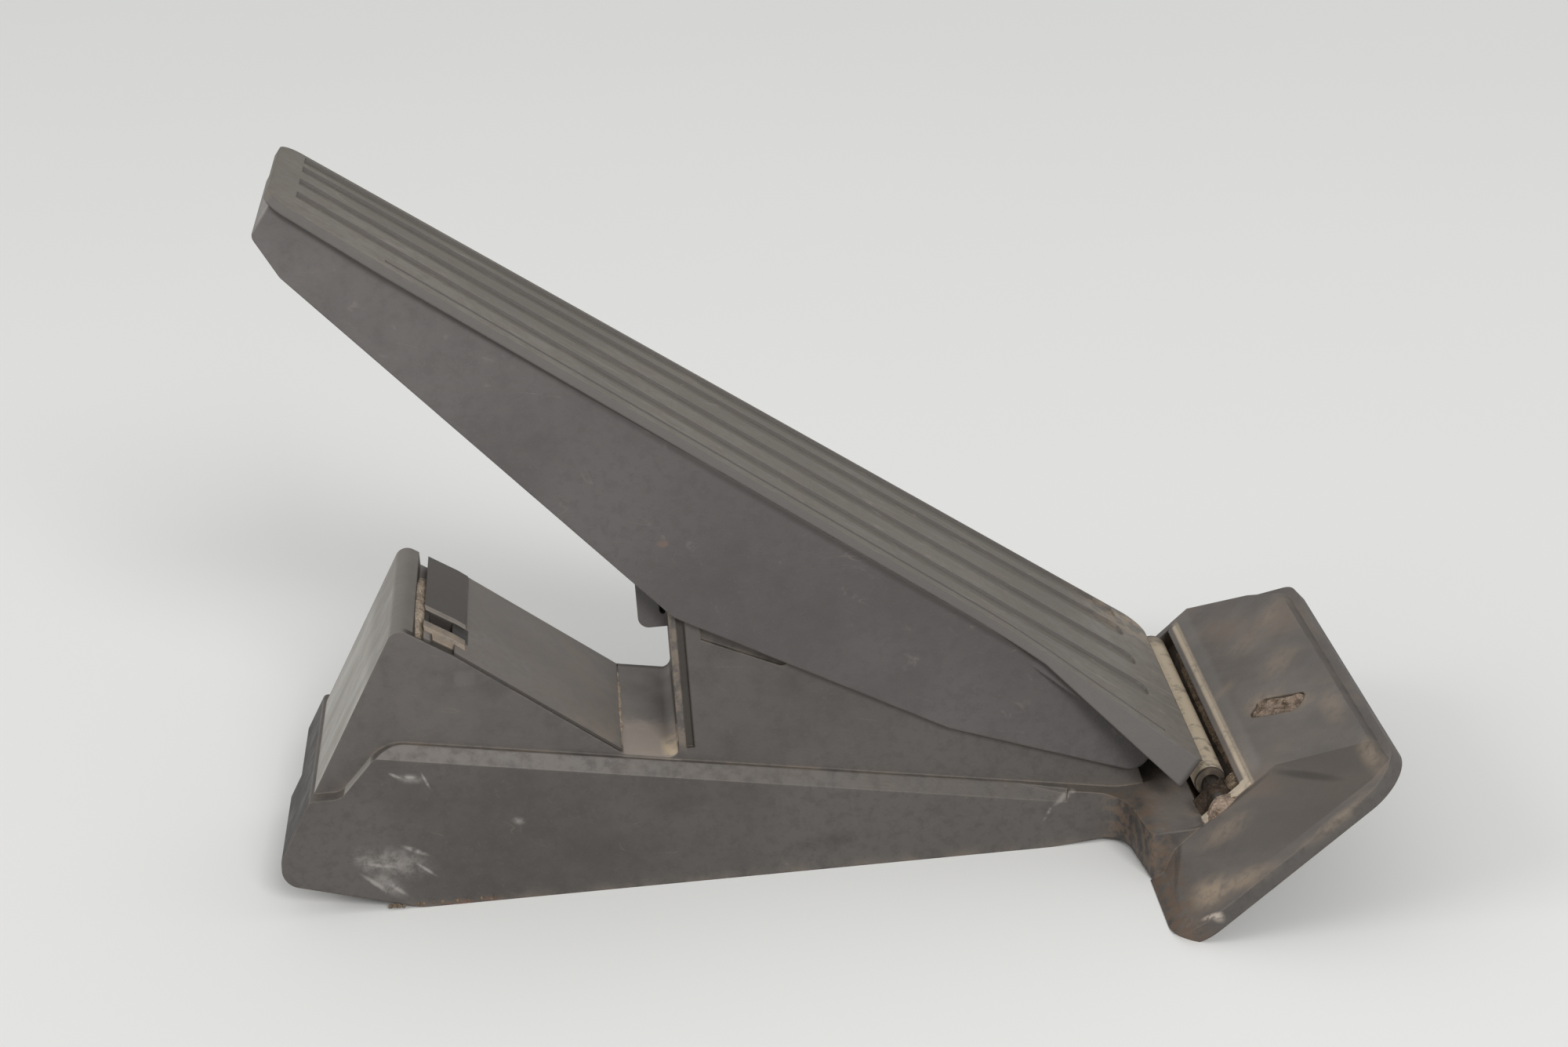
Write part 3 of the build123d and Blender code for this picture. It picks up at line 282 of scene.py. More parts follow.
def moulded(name, colour, light, dust, marks, dust_share, edge=0.5):
    """Moulded grained plastic with mottling, worn edges lightened with dust and a painted
    highlight, fine scratches and dust in its corners.
    """
    dust_reach = 4.0
    s = Shade(name)
    worn = s.round_edges(edge)
    cloud = s.noise(24, 3.0, 0.5)
    patch = s.noise(150, 5.0, 0.65)
    fine = s.noise(420, 3.0, 0.6)
    speck = s.noise(1300, 2.0, 0.5)
    tone = s.mix(s.span(cloud, 0.36, 0.66), colour, light)
    tone = s.coat(tone, light, s.span(patch, 0.3, 0.7, 0.0, 0.5))
    tone = s.coat(tone, colour, s.span(s.noise(420, 4.0, 0.7), 0.55, 0.35), 0.5)
    tone = s.coat(tone, light, s.span(speck, 0.6, 0.72), 0.4)
    scratch = s.threads(60, 0.006, s.moved(ORIGIN, (0, 0.3, 0), (3, 1, 1)))
    tone = s.coat(tone, dust, scratch, s.span(patch, 0.5, 0.7), 0.25)
    settled = s.times(s.span(s.towards(UP), 0.25, 1.0), s.span(patch, 0.3, 0.7), 0.5)
    corner = s.times(s.crevice(dust_reach), s.span(patch, 0.35, 0.65))
    tone = s.coat(tone, dust, s.most(settled, corner), dust_share)
    # Edges lightened with the dust colour: wear and dust, and in part a painted highlight along the
    # edges.
    tone = s.coat(tone, dust, worn, s.span(patch, 0.35, 0.6), 0.5)
    tone = marks(s, tone, patch, fine)
    s.bump(s.noise(2600, 2.0, 0.5), 0.05)
    s.bump(patch, 0.12)
    return s.done(tone, s.span(patch, 0.3, 0.7, 0.5, 0.74))


def metal(name, colour, shade, roughness=0.32):
    """Bare metal with fine drawn lines and dull patches."""
    s = Shade(name, roughness, 1.0)
    s.round_edges(0.2)
    lines = s.noise(900, 2.0, 0.5, s.moved(ORIGIN, ORIGIN, (1, 8, 1)))
    patch = s.noise(260, 3.0)
    tone = s.mix(s.span(s.times(lines, patch), 0.15, 0.4), shade, colour)
    s.bump(lines, 0.02)
    return s.done(tone, s.span(patch, 0.3, 0.7, roughness - 0.1, roughness + 0.15))


def smooth(name, colour, light, roughness=0.45):
    """Clean plastic or rubber with faint mottling."""
    s = Shade(name, roughness)
    worn = s.round_edges(0.25)
    patch = s.noise(320, 3.0)
    tone = s.mix(s.span(patch, 0.35, 0.7), colour, light)
    tone = s.coat(tone, light, worn, 0.4)
    s.bump(s.noise(2200, 2.0), 0.03)
    return s.done(tone, s.span(patch, 0.3, 0.7, roughness - 0.06, roughness + 0.12))


def soil(name, colour, shade, light):
    """Caked dry dirt."""
    s = Shade(name, 0.95, 0.0, 0.1)
    lump = s.noise(420, 4.0, 0.65)
    grain = s.noise(1900, 3.0, 0.6)
    tone = s.mix(s.span(lump, 0.3, 0.65), shade, colour)
    tone = s.coat(tone, light, s.span(grain, 0.5, 0.72), 0.7)
    s.bump(lump, 0.6)
    s.bump(grain, 0.25)
    return s.done(tone)


def wall_marks(s, tone, patch, fine):
    """Paler upper walls, a dusty front face with a painted reflection, a paler crown, painted shade
    on the toe face and painted light on the ledge of the base.
    """
    up = s.towards(UP)
    front = s.span(s.towards(FRONT), 0.6, 0.8)
    upper = s.times(s.span(s.y, -0.0235, -0.0228), s.span(s.x, 0.07, -0.07, 0.1, 0.5))
    upper = s.times(upper, s.span(up, 0.3, 0.1))
    tone = s.coat(tone, linear(92, 87, 84), upper, s.span(patch, 0.3, 0.6, 0.4, 1.0))
    # The upper front face gets a pale streaky colour: dust, and a painted reflection of the bright
    # surroundings on this grazing face.
    streak = s.noise(110, 3.0, 0.6, s.moved(ORIGIN, (0, 0.46, 0), (1, 1, 5)))
    dusty = s.mix(s.span(streak, 0.35, 0.7), linear(142, 138, 131), linear(164, 161, 155))
    tone = s.coat(tone, dusty, front, s.span(s.z, 0.024, 0.026), s.span(s.x, -0.055, -0.06))
    # The lower front face of the toe is painted dark: painted shade on a face turned away from the
    # light.
    tone = s.coat(tone, linear(54, 51, 49), front, s.span(s.z, 0.026, 0.024), 0.8)
    crown = s.times(s.span(up, 0.3, 0.6), s.span(s.x, -0.0655, -0.0665))
    tone = s.coat(tone, linear(120, 115, 109), crown, s.span(s.z, 0.045, 0.05), 0.8)
    # The upward ledge chamfer is painted lighter, fading towards the heel: painted light on a face
    # turned up to the lamps.
    ledge = s.times(s.between(s.towards(NEAR), 0.5, 0.85, 0.05), s.span(up, 0.4, 0.55))
    ledge = s.times(ledge, s.span(s.x, 0.05, -0.06, 0.0, 0.75))
    return s.coat(tone, linear(112, 107, 103), ledge, s.span(fine, 0.3, 0.65, 0.35, 1.0))


def pocket_marks(s, tone, fine):
    """Dust on the pocket's floor, thickest at its near end."""
    pocket = s.times(
        s.between(s.y, -0.0225, 0.0215, 0.0008),
        s.between(s.x, -0.0298, -0.0183, 0.0006),
        s.between(s.z, 0.023, 0.032, 0.001),
        s.span(s.towards(UP), 0.4, 0.7),
    )
    tone = s.coat(tone, linear(122, 116, 111), pocket)
    dusty = s.span(s.math("ADD", s.y, s.times(fine, 0.006)), 0.0, -0.006)
    tone = s.coat(tone, linear(158, 146, 136), pocket, dusty, 0.8)
    heaped = s.blob((-0.0195, -0.018, 0.026), (3.2, 8, 4))
    return s.coat(tone, BEIGE, pocket, heaped, s.span(fine, 0.3, 0.5))


HEEL_STAINS = (
    (9.5, -65, 10, 6, -40, 0.8),
    (17, -69, 11, 4, -30, 0.6),
    (18, -52, 9, 5, -20, 0.35),
    (30, -6, 5, 3, 0, 0.4),
    (43, -13, 8, 7, -50, 0.35),
    (39, 4, 8, 6, -50, 0.3),
    (7, -30, 4, 7, 0, 0.6),
    (38, -74, 12, 2, -4, 0.5),
    (47, 8, 6, 9, -40, 0.3),
    (36.5, -22, 9, 5, -49, 0.55),
    (42, -31, 9, 4, -49, 0.55),
    (48.5, -43, 4, 12, 0, 0.35),
    (50, -66, 3, 10, 0, 0.4),
    (28, -35, 3, 12, 0, 0.3),
)
HEEL_CREASES = ((21, -45.8, 13, -6), (37.5, -56.3, 13.5, -59), (6, -50, 9, -117))


def heel_top(s):
    """Mask that is 1 on the top of the heel plate."""
    return s.times(s.span(s.towards(HEEL_UP), 0.55, 0.75), s.span(s.x, 0.071, 0.074))


def heel_marks(s, tone, fine):
    """Smears, stains, painted shade on the near-facing facets and along the crease lines, and a
    brown flank of the heel plate.
    """
    along = s.along(HEEL_ALONG, HEEL_START)
    plate = heel_top(s)
    smear = s.noise(70, 4.0, 0.6, s.moved(ORIGIN, heel_turn(-50), (3.5, 1, 1)))
    grey = s.mix(s.span(smear, 0.35, 0.65), linear(96, 91, 87), linear(114, 107, 101))
    tone = s.coat(tone, grey, plate, 0.75)
    cloud = s.span(s.noise(55, 3.0, 0.55), 0.4, 0.6)
    tone = s.coat(tone, BROWN, plate, s.span(smear, 0.48, 0.64), cloud, 0.55)
    # Facets that face the near side are painted darker: painted shade from how they turn from the
    # light.
    painted_facet_shade = s.times(plate, s.span(s.towards(NEAR), 0.03, 0.06))
    tone = s.coat(tone, linear(78, 72, 66), painted_facet_shade, s.span(along, 0.012, 0.04), 0.7)
    stains = []
    for run, across, length, width, turn, share in HEEL_STAINS:
        stain = s.blob(on_heel(run, across, 2), (length, width, 4), heel_turn(turn), 0.95)
        stains.append(s.times(stain, share))
    tone = s.coat(tone, TAN, s.most(*stains), s.span(fine, 0.3, 0.6, 0.3, 1.0))
    cream = s.blob(on_heel(8, -71.5, 1), (3.5, 1, 3), heel_turn(-35), 0.8)
    tone = s.coat(tone, linear(196, 184, 170), cream, s.span(fine, 0.4, 0.55), 0.8)
    # Dark lines along the crease lines between the facets: painted shade in the creases.
    creases = []
    for run, across, half, turn in HEEL_CREASES:
        creases.append(s.blob(on_heel(run, across, 2.5), (half, 1.3, 6), heel_turn(turn), 0.7))
    tone = s.coat(tone, linear(58, 53, 49), s.most(*creases), 0.7)
    flank = s.times(s.span(along, 0.009, 0.003), s.span(s.x, 0.0705, 0.0715))
    flank = s.times(flank, s.span(s.y, -0.03, -0.04))
    return s.coat(tone, linear(92, 76, 64), flank, s.span(fine, 0.35, 0.6), 0.6)


def hinge_marks(s, tone, fine):
    """Dust on the bead around the hinge, a pale band beside it and dark dirt in the trough."""
    along = s.along(HEEL_ALONG, HEEL_START)
    rise = s.along(HEEL_UP, HEEL_START)
    raised = s.span(rise, 0.0027, 0.0032)
    bead = s.times(s.between(along, 0.0262, 0.0276, 0.0003), raised)
    bead = s.times(bead, s.between(s.y, -0.045, 0.035, 0.002))
    end = s.between(s.y, -0.0456, -0.0431, 0.0003)
    end = s.times(end, s.between(along, 0.0148, 0.0276, 0.0004), raised)
    bead = s.most(bead, end)
    tone = s.coat(tone, linear(182, 168, 148), bead, s.span(fine, 0.28, 0.5, 0.6, 1.0))
    band = s.times(s.between(along, 0.0276, 0.0305, 0.0008), heel_top(s))
    tone = s.coat(tone, linear(124, 120, 116), band, s.span(s.y, -0.044, -0.04), 0.4)
    trough = s.times(
        s.span(s.hinge_reach(), 0.0085, 0.0055),
        s.between(s.y, -0.0435, 0.036, 0.001),
        s.span(rise, 0.0028, 0.0022),
    )
    return s.coat(tone, linear(84, 72, 60), trough, s.span(fine, 0.3, 0.55, 0.5, 1.0))


BEND_STROKES = (
    (57.6, -26, 11.1, 4.6, 0.8, -34),
    (65.1, -27, 14.6, 4.4, 0.8, -14),
    (53.5, -26, 7.5, 2.2, 0.5, -60),
)
BRIGHT_STROKES = (
    (-72.3, -26, 12.7, 3.6, 0.7, 27),
    (-70.6, -26, 8.4, 3.4, 0.5, 41),
    (-80.5, -26, 6.0, 5.0, 0.7, 42),
    (-76.5, -26, 4.6, 3.2, 0.7, 43),
    (-74.4, -26, 29.2, 1.8, 0.5, 31),
    (-68.6, -26, 27.6, 2.4, 0.4, 69),
    (-71.5, -26, 28.6, 1.6, 0.5, 10),
    (-79.0, -26, 10.0, 4.0, 0.6, 12),
)
HAZE_STROKES = (
    (-81.6, -26, 11.0, 5.4, 3.0, 48),
    (-76.2, -26, 10.4, 9.5, 4.6, 14),
    (-51.3, -26, 17.0, 1.8, 1.2, 20),
    (-78.5, -26, 6.0, 6.0, 2.6, 44),
    (-71.5, -26, 28.3, 4.0, 1.4, 10),
)
DARK_STROKES = (
    (-36, -26, 9, 10, 5, 0),
    (-20, -26, 17, 8, 4, -10),
    (10, -26, 6, 12, 3, -6),
)


def scuff_marks(s, tone, patch, fine):
    """Brown flare, scuffs, haze, dark patches and a rusty toe edge of the near wall."""
    flare = s.times(s.between(s.x, 0.064, 0.0745, 0.002), s.between(s.z, 0.0, 0.014, 0.003))
    flare = s.times(flare, s.span(s.y, -0.024, -0.028))
    tone = s.coat(tone, linear(104, 86, 70), flare, s.span(fine, 0.42, 0.6), 0.6)
    bend = s.strokes(BEND_STROKES)
    tone = s.coat(tone, linear(148, 142, 137), bend, s.span(fine, 0.3, 0.55), 0.6)
    wall = s.span(s.y, -0.0245, -0.0255)
    ragged = s.noise(520, 4.0, 0.7)
    bright = s.times(s.strokes(BRIGHT_STROKES), wall)
    tone = s.coat(tone, linear(160, 155, 151), bright, s.span(ragged, 0.3, 0.55), 0.55)
    haze = s.times(s.strokes(HAZE_STROKES), wall)
    tone = s.coat(tone, linear(142, 137, 133), haze, s.span(ragged, 0.3, 0.66), 0.55)
    dark = s.times(s.strokes(DARK_STROKES), wall)
    tone = s.coat(tone, linear(54, 50, 47), dark, s.span(patch, 0.35, 0.6), 0.4)
    edge = s.times(s.between(s.x, -0.079, -0.056, 0.003), s.span(s.z, 0.0016, 0.0003), wall)
    return s.coat(tone, linear(104, 74, 62), edge, s.span(ragged, 0.45, 0.6), 0.8)


def gap_marks(s, tone, fine):
    """Painted shade in the gap at the lid, in the latch's hole and in the pocket's slit, a faint
    bare patch, and dust beside the slit.
    """
    # Dark band along the lid's near gap: painted shadow in the gap.
    gap = s.times(s.between(s.y, -0.0222, -0.0203, 0.0002), s.between(s.x, -0.0695, -0.03, 0.0008))
    tone = s.coat(tone, linear(40, 35, 31), gap, s.span(s.z, 0.024, 0.026), 0.85)
    # The hole under the latch's window is painted near black: painted shade inside the hole.
    hole = s.times(
        s.between(s.x, -0.0668, -0.058, 0.0004),
        s.between(s.y, -0.0136, -0.0055, 0.0004),
        s.span(s.z, 0.059, 0.056),
        s.span(s.z, 0.04, 0.044),
    )
    tone = s.coat(tone, linear(34, 30, 26), hole, 0.9)
    bare = s.times(s.between(s.x, -0.061, -0.057, 0.0004), s.between(s.z, 0.0455, 0.0485, 0.0004))
    tone = s.coat(tone, PALE, bare, 0.04)
    strip = s.times(s.between(s.x, -0.019, -0.0169, 0.0002), s.span(s.z, 0.026, 0.03))
    tone = s.coat(tone, TAN, strip, s.span(fine, 0.35, 0.6), 0.25)
    # The slit beside the pocket is painted dark: painted shade in the groove.
    slit = s.times(s.between(s.x, -0.0171, -0.0153, 0.0002), s.span(s.y, -0.0214, -0.0217))
    return s.coat(tone, linear(40, 37, 33), slit, s.span(s.z, 0.027, 0.028), 0.8)


def base_marks(s, tone, patch, fine):
    """Zones, dust, stains, scuffs, painted shade and painted light of the base housing."""
    tone = wall_marks(s, tone, patch, fine)
    tone = pocket_marks(s, tone, fine)
    tone = heel_marks(s, tone, fine)
    tone = hinge_marks(s, tone, fine)
    tone = scuff_marks(s, tone, patch, fine)
    return gap_marks(s, tone, fine)


def lid_marks(s, tone, patch, fine):
    """Dust on the lid's slope and lip, a dark bare tongue, and painted shade on the rim, window and
    notch.
    """
    slope = s.times(s.span(s.x, -0.055, -0.03), s.span(patch, 0.35, 0.65), 0.4)
    tone = s.coat(tone, linear(142, 131, 120), slope)
    tongue = s.times(s.between(s.x, *LATCH, 0.0002), s.span(s.y, -0.0056, -0.0052))
    dark = s.mix(s.span(patch, 0.35, 0.65), linear(72, 68, 64), linear(86, 81, 76))
    tone = s.coat(tone, dark, tongue, 0.9)
    # The lid's near rim is painted dark: painted shadow of the gap beside it.
    rim = s.times(s.span(s.y, -0.0199, -0.0205), s.span(s.x, -0.0695, -0.0685))
    tone = s.coat(tone, linear(48, 42, 38), rim, 0.8)
    lip = s.times(s.between(s.x, *LATCH, 0.0004), s.between(s.y, -0.0162, -0.0128, 0.0004))
    tone = s.coat(tone, TAN, lip, s.span(fine, 0.3, 0.6, 0.2, 0.7))
    # The latch window is painted near black: painted shade in the opening.
    window = s.between(s.x, -0.0664, -0.0582, 0.0002)
    window = s.times(window, s.between(s.y, -0.0131, -0.0058, 0.0002))
    tone = s.coat(tone, linear(36, 31, 27), window, 0.9)
    # The notch is painted dark: painted shade in the recess.
    notch = s.times(s.between(s.x, -0.065, -0.0605, 0.0003), s.span(s.y, -0.0163, -0.0168))
    return s.coat(tone, linear(48, 44, 41), notch, 0.8)


def carrier_marks(s, tone, patch, fine):
    """Dusty barrel with painted shade at its near end, a painted shadow under the tread's overhang,
    pale tip, a painted sheen on the skirt's upper part and a few spots on the skirt.
    """
    along = s.along(TREAD_ALONG, HINGE)
    rise = s.along(TREAD_UP, HINGE)
    reach = s.hinge_reach()
    near = s.towards(NEAR)
    barrel = s.times(s.span(reach, 0.0042, 0.0035), s.span(fine, 0.3, 0.5, 0.35, 0.95))
    tone = s.coat(tone, linear(180, 165, 142), barrel, s.span(s.y, 0.033, 0.026, 0.4, 1.0))
    # The barrel's near end is painted dark: painted shade in the hole at the hinge's end.
    end = s.times(s.span(reach, 0.0052, 0.0045), s.span(near, 0.5, 0.8))
    tone = s.coat(tone, linear(58, 50, 43), end, 0.8)
    # A dark band on the skirt just below the tread's rim: painted shadow cast by the overhanging
    # tread.
    rim = s.math("MINIMUM", s.math("SUBTRACT", -0.0039, s.times(along, 0.15)), 0.0021)
    overhang_shadow = s.span(s.math("SUBTRACT", rise, rim), -0.0018, -0.0006)
    tone = s.coat(tone, linear(46, 41, 38), overhang_shadow, s.span(near, 0.6, 0.8), 0.6)
    tone = s.coat(tone, linear(150, 147, 143), s.span(along, -0.2135, -0.2142), 0.7)
    # The skirt's upper part is painted lighter: painted sheen.
    upper = s.times(s.span(along, -0.10, -0.21), s.span(patch, 0.3, 0.7, 0.3, 0.8))
    tone = s.coat(tone, linear(112, 107, 105), upper, 0.45)
    spot = s.blob(on_tread(-117, -24, -16), (1.6, 2, 1.0))
    tone = s.coat(tone, linear(116, 92, 78), spot, s.span(fine, 0.3, 0.5), 0.4)
    pale = s.times(s.span(s.noise(300, 2.0, 0.4), 0.7, 0.76), s.span(fine, 0.4, 0.6))
    return s.coat(tone, linear(140, 133, 128), pale, 0.12)


def tread_marks(s, tone, patch, fine):
    """Darker grooves, from dirt and painted shade, a bare smooth side band, dust near the heel and
    worn lines on the top.
    """
    along = s.along(TREAD_ALONG, HINGE)
    rise = s.along(TREAD_UP, HINGE)
    top = s.span(s.towards(TREAD_UP), 0.6, 0.9)
    # Groove floors are painted darker: dirt, and painted shade in the grooves.
    tone = s.coat(tone, linear(84, 79, 72), s.span(rise, 0.0037, 0.0033), top, 0.45)
    tone = s.coat(tone, linear(88, 84, 82), s.span(s.towards(NEAR), 0.4, 0.7), 0.85)
    dirt = s.times(s.span(along, -0.03, -0.008), s.span(s.y, 0.012, 0.03))
    tone = s.coat(tone, TAN, dirt, s.span(fine, 0.4, 0.6), 0.6)
    worn = s.threads(130, 0.012, s.moved(ORIGIN, (0, TREAD_ANGLE, 0), (6, 1, 1)))
    return s.coat(tone, linear(150, 142, 130), worn, top, 0.25)


materials = {
    "base_housing": moulded(
        "base_plastic", linear(64, 60, 57), linear(80, 76, 73), linear(138, 124, 108),
        base_marks, 0.4,
    ),
    "bay_lid": moulded(
        "lid_plastic", linear(110, 105, 101), linear(128, 122, 116), linear(154, 142, 128),
        lid_marks, 0.4,
    ),
    "pedal_carrier": moulded(
        "carrier_plastic", linear(70, 66, 65), linear(82, 78, 77), linear(126, 117, 107),
        carrier_marks, 0.2,
    ),
    "pedal_tread": moulded(
        "tread_plastic", linear(94, 90, 83), linear(111, 106, 98), linear(134, 123, 109),
        tread_marks, 0.2, edge=0.6,
    ),
    "sensor_cover": smooth("cover_plastic", linear(70, 70, 70), linear(88, 88, 88)),
    "drive_lever": smooth("lever_plastic", linear(58, 58, 60), linear(76, 76, 78)),
    "shaft_bush": smooth("bush_plastic", linear(214, 208, 192), linear(226, 222, 210)),
    "hinge_bush": smooth("bush_plastic_dusty", linear(70, 62, 54), linear(104, 92, 78), 0.7),
    "glide_shoe": smooth("shoe_plastic", linear(218, 212, 198), linear(230, 226, 216)),
    "hinge_pin": metal("dull_steel", linear(104, 98, 92), linear(70, 64, 58), 0.55),
    "lever_shaft": metal("shaft_steel", linear(200, 200, 198), linear(158, 158, 156)),
    "return_spring": metal("spring_steel", linear(160, 160, 162), linear(120, 120, 124)),
    "cover_screws": metal("screw_steel", linear(206, 205, 200), linear(172, 170, 160)),
    "sensor_magnet": metal("magnet", linear(180, 180, 182), linear(146, 146, 150)),
    "connector_pins": metal("contact_metal", linear(214, 204, 170), linear(182, 168, 128)),
    "circuit_board": smooth("board", linear(52, 108, 70), linear(74, 136, 92), 0.35),
    "hall_sensors": smooth("chip", linear(34, 34, 36), linear(52, 52, 54), 0.5),
    "stop_buffers": smooth("rubber", linear(40, 40, 40), linear(58, 57, 55), 0.75),
}
for name, node in nodes.items():
    key = name.removesuffix("_near").removesuffix("_far")
    node.data.materials.clear()
    node.data.materials.append(materials[key])

dirt_dark = soil("dirt_dark", linear(62, 52, 44), linear(38, 32, 28), linear(92, 78, 66))
dirt_slot = soil("dirt_slot", linear(138, 122, 108), linear(84, 70, 60), linear(172, 156, 140))
dirt_pale = soil("dirt_pale", linear(180, 166, 148), linear(142, 127, 111), linear(202, 190, 174))
dirt_tan = soil("dirt_tan", linear(120, 104, 86), linear(80, 68, 56), linear(156, 140, 120))


def mesh_object(name, work, material, body):
    """Object from finished mesh work, riding on a body of the frame."""
    bmesh.ops.recalc_face_normals(work, faces=work.faces)
    mesh = bpy.data.meshes.new(name)
    work.to_mesh(mesh)
    work.free()
    mesh.materials.append(material)
    piece = bpy.data.objects.new(name, mesh)
    bpy.context.collection.objects.link(piece)
    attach(piece, body)


def skin(work, rings):
    """Side faces from ring to ring. All rings have the same number of points."""
    count = len(rings[0])
    for first, second in zip(rings, rings[1:]):
        for index in range(count):
            following = (index + 1) % count
            work.faces.new((first[index], first[following], second[following], second[index]))


def crust(name, place, material, across, along, height, rough, seed, fall=0.0):
    """Lumpy bar of dirt along the pedal's width, in a gap between two walls.

    The ranges across, along and of height are in millimetres. A fall above 0 rounds the top off.
    """
    pitch = 0.9
    columns = 7
    thinnest = 0.12
    start, end = across
    left, right = along
    low, high = height
    steps = max(12, round(abs(end - start) / pitch))
    work = bmesh.new()
    rings = []
    for step in range(steps + 1):
        y = start + (end - start) * step / steps
        fade = min(1.0, 3.0 * min(step, steps - step) / steps + 0.15)
        ring = [place(left, y, low), place(right, y, low)]
        for column in range(columns + 1):
            share = 1 - column / columns
            x = left + (right - left) * share
            lump = noise.noise(Vector((x * 0.9 + seed, y * 0.55, seed))) * rough
            lump += noise.noise(Vector((x * 2.3, y * 1.7 + seed, seed))) * rough * 0.5
            arch = math.sin(math.pi * share)
            top = (high - low) * fade * (1 - fall * (1 - arch))
            ring.append(place(x, y, low + max(thinnest, top + lump + arch * 0.35 - 0.3)))
        rings.append([work.verts.new(point) for point in ring])
    skin(work, rings)
    work.faces.new(rings[0])
    work.faces.new(list(reversed(rings[-1])))
    mesh_object(name, work, material, "base")


def slot_plug(name, material, along, across, length, width, turn, low, high, seed):
    """Ragged plug of dirt in the fixing slot of the heel plate, in millimetres."""
    around = 44
    levels = (
        (0.0, 1.0, low),
        (0.0, 1.0, high - 0.5),
        (0.5, 0.86, high),
        (0.5, 0.6, high),
        (0.5, 0.3, high),
    )
    work = bmesh.new()
    rings = []
    for jag, size, rise in levels:
        ring = []
        for step in range(around):
            angle = 2 * math.pi * step / around
            cosine, sine = math.cos(angle), math.sin(angle)
            run = (length - width) / 2 * (1 if cosine > 0 else -1) * min(1.0, abs(cosine) * 4)
            u = (run + width / 2 * cosine) * size
            v = width / 2 * sine * size
            bump = noise.noise(Vector((u * 0.8 + seed, v * 0.9, seed))) * 0.9
            wild = noise.noise(Vector((u * 2.1, v * 2.3 + seed, seed))) * 0.4
            x = along + u * math.cos(turn) - v * math.sin(turn)
            y = across + u * math.sin(turn) + v * math.cos(turn)
            ring.append(work.verts.new(on_heel(x, y, rise + (bump + wild) * jag * 2)))
        rings.append(ring)
    skin(work, rings)
    work.faces.new(list(reversed(rings[0])))
    work.faces.new(rings[-1])
    mesh_object(name, work, material, "base")


def crumbs(name, places, material, seed):
    """Small flattened clods of dirt lying on a surface."""
    work = bmesh.new()
    rng = random.Random(seed)
    for point, up, size in places:
        start = len(work.verts)
        bmesh.ops.create_icosphere(work, subdivisions=2, radius=size * MM)
        work.verts.ensure_lookup_table()
        turn = Vector(UP).rotation_difference(up).to_matrix()
        flat = 0.45 + 0.3 * rng.random()
        shift = rng.random() * 50
        lowest = -0.25 * size * MM
        for vert in work.verts[start:]:
            lump = 1 + 0.45 * noise.noise(vert.co * (900 / size) + Vector((shift, 0, 0)))
            height = max(vert.co.z * lump * flat, lowest)
            vert.co = turn @ Vector((vert.co.x * lump, vert.co.y * lump, height)) + point
    mesh_object(name, work, material, "base")


crust(
    "hinge_gap_dirt", on_heel, dirt_tan,
    across=(-34.0, 31.0), along=(23.15, 24.95), height=(-0.5, 2.0), rough=0.5, seed=3.1,
)
crust(
    "hinge_end_dirt", on_heel, dirt_tan,
    across=(-43.3, -34.4), along=(22.0, 24.95), height=(-0.5, 3.4), rough=0.4, seed=8.4,
)
crust(
    "hinge_hole_dirt", on_heel, dirt_dark,
    across=(-43.3, -34.4), along=(15.05, 22.3), height=(-0.5, 4.6), rough=0.25, seed=4.6,
)
crust(
    "hinge_pin_dirt", on_heel, dirt_dark,
    across=(-44.0, -34.3), along=(16.4, 22.6), height=(1.0, 5.1), rough=0.25, seed=2.2, fall=0.5,
)
crust(
    "hinge_bead_dirt", on_heel, dirt_slot,
    across=(-46.9, -42.6), along=(15.2, 23.8), height=(1.0, 5.0), rough=0.25, seed=9.7, fall=0.55,
)
slot_plug(
    "slot_dirt", dirt_slot,
    along=38.8, across=-27.0, length=15.4, width=4.9, turn=math.radians(-49),
    low=-1.2, high=2.9, seed=5.2,
)
crust(
    "lid_slit_dirt", on_ramp, dirt_pale,
    across=(-16.5, 15.0), along=(-68.05, -66.25), height=(0.0, 2.4), rough=0.45, seed=1.7,
)
crust(
    "fold_dirt", on_fold, dirt_pale,
    across=(-21.2, 21.8), along=(-30.1, -29.25), height=(-0.2, 0.35), rough=0.2, seed=6.3,
)

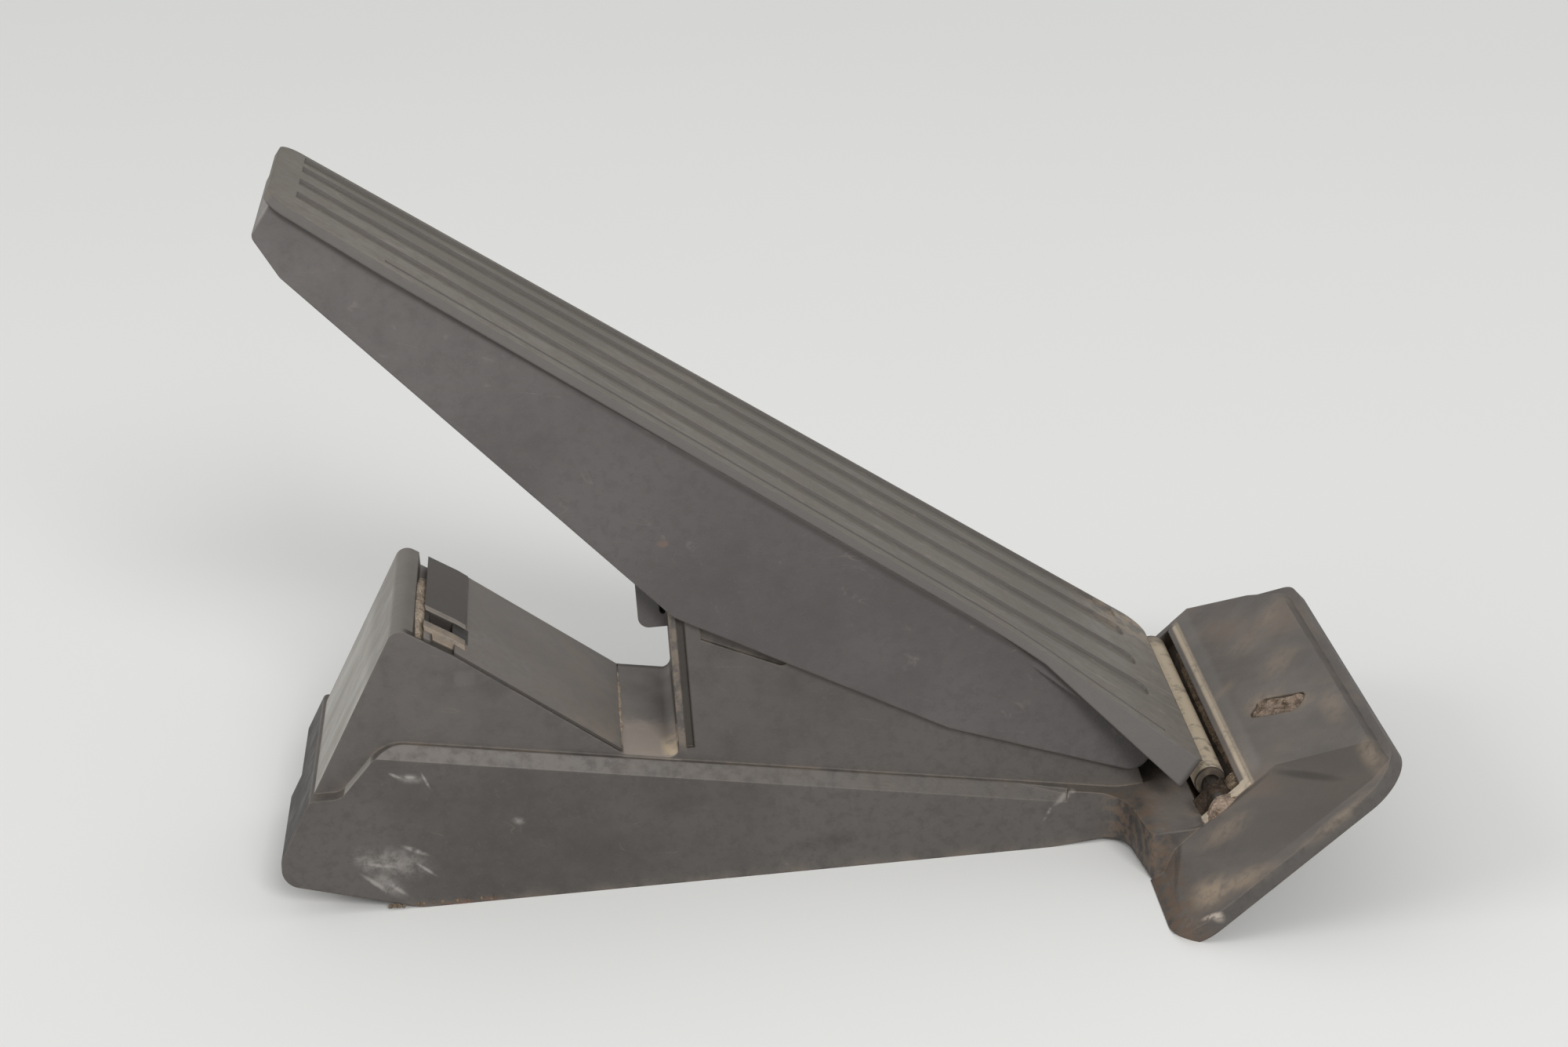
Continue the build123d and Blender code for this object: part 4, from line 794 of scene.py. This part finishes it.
rng = random.Random(12)
crumb_up = Vector((0, -1, 0.3)).normalized()
toe_edge = []
for _ in range(16):
    spot = Vector((rng.uniform(-79, -56), NEAR_WALL, rng.uniform(0.75, 1.0))) * MM
    toe_edge.append((spot, crumb_up, rng.uniform(0.25, 0.5)))
crumbs("toe_edge_crumbs", toe_edge, dirt_tan, seed=21)


def floor():
    """Plain pale floor under the part."""
    mesh = bpy.data.meshes.new("floor")
    far = FLOOR_REACH
    corners = [(-far, -far, 0), (far, -far, 0), (far, far, 0), (-far, far, 0)]
    mesh.from_pydata(corners, [], [(0, 1, 2, 3)])
    plane = bpy.data.objects.new("floor", mesh)
    bpy.context.collection.objects.link(plane)
    s = Shade("floor", 0.8, 0.0, 0.1)
    tone = s.mix(s.noise(3.0, 3.0), linear(224, 224, 222), linear(228, 228, 226))
    mesh.materials.append(s.done(tone))


def camera():
    """Camera at the photograph's place and angle."""
    data = bpy.data.cameras.new("camera")
    data.sensor_width = CAMERA_SENSOR
    data.lens = CAMERA_LENS
    view = bpy.data.objects.new("camera", data)
    turn = (CAMERA_AIM - CAMERA_PLACE).to_track_quat("-Z", "Y").to_matrix()
    turn = turn @ Matrix.Rotation(CAMERA_ROLL, 3, "Z")
    view.matrix_world = Matrix.Translation(CAMERA_PLACE) @ turn.to_4x4()
    bpy.context.collection.objects.link(view)
    bpy.context.scene.camera = view


def lamp(name, place, size, watts):
    """Square soft light aimed at the part."""
    data = bpy.data.lights.new(name, "AREA")
    data.size = size
    data.energy = watts
    light = bpy.data.objects.new(name, data)
    light.location = place
    light.rotation_euler = (LAMP_AIM - Vector(place)).to_track_quat("-Z", "Y").to_euler()
    bpy.context.collection.objects.link(light)


def surroundings():
    """Even white light from all around."""
    world = bpy.data.worlds.new("studio")
    world.use_nodes = True
    background = world.node_tree.nodes["Background"]
    background.inputs["Color"].default_value = (1, 1, 1, 1)
    background.inputs["Strength"].default_value = WORLD_STRENGTH
    bpy.context.scene.world = world


floor()
camera()
lamp("key", (0.8, -3.0, 1.9), size=1.0, watts=78)
lamp("fill", (-2.6, -0.9, 1.7), size=1.6, watts=26)
surroundings()
bpy.context.scene.view_settings.view_transform = "Standard"
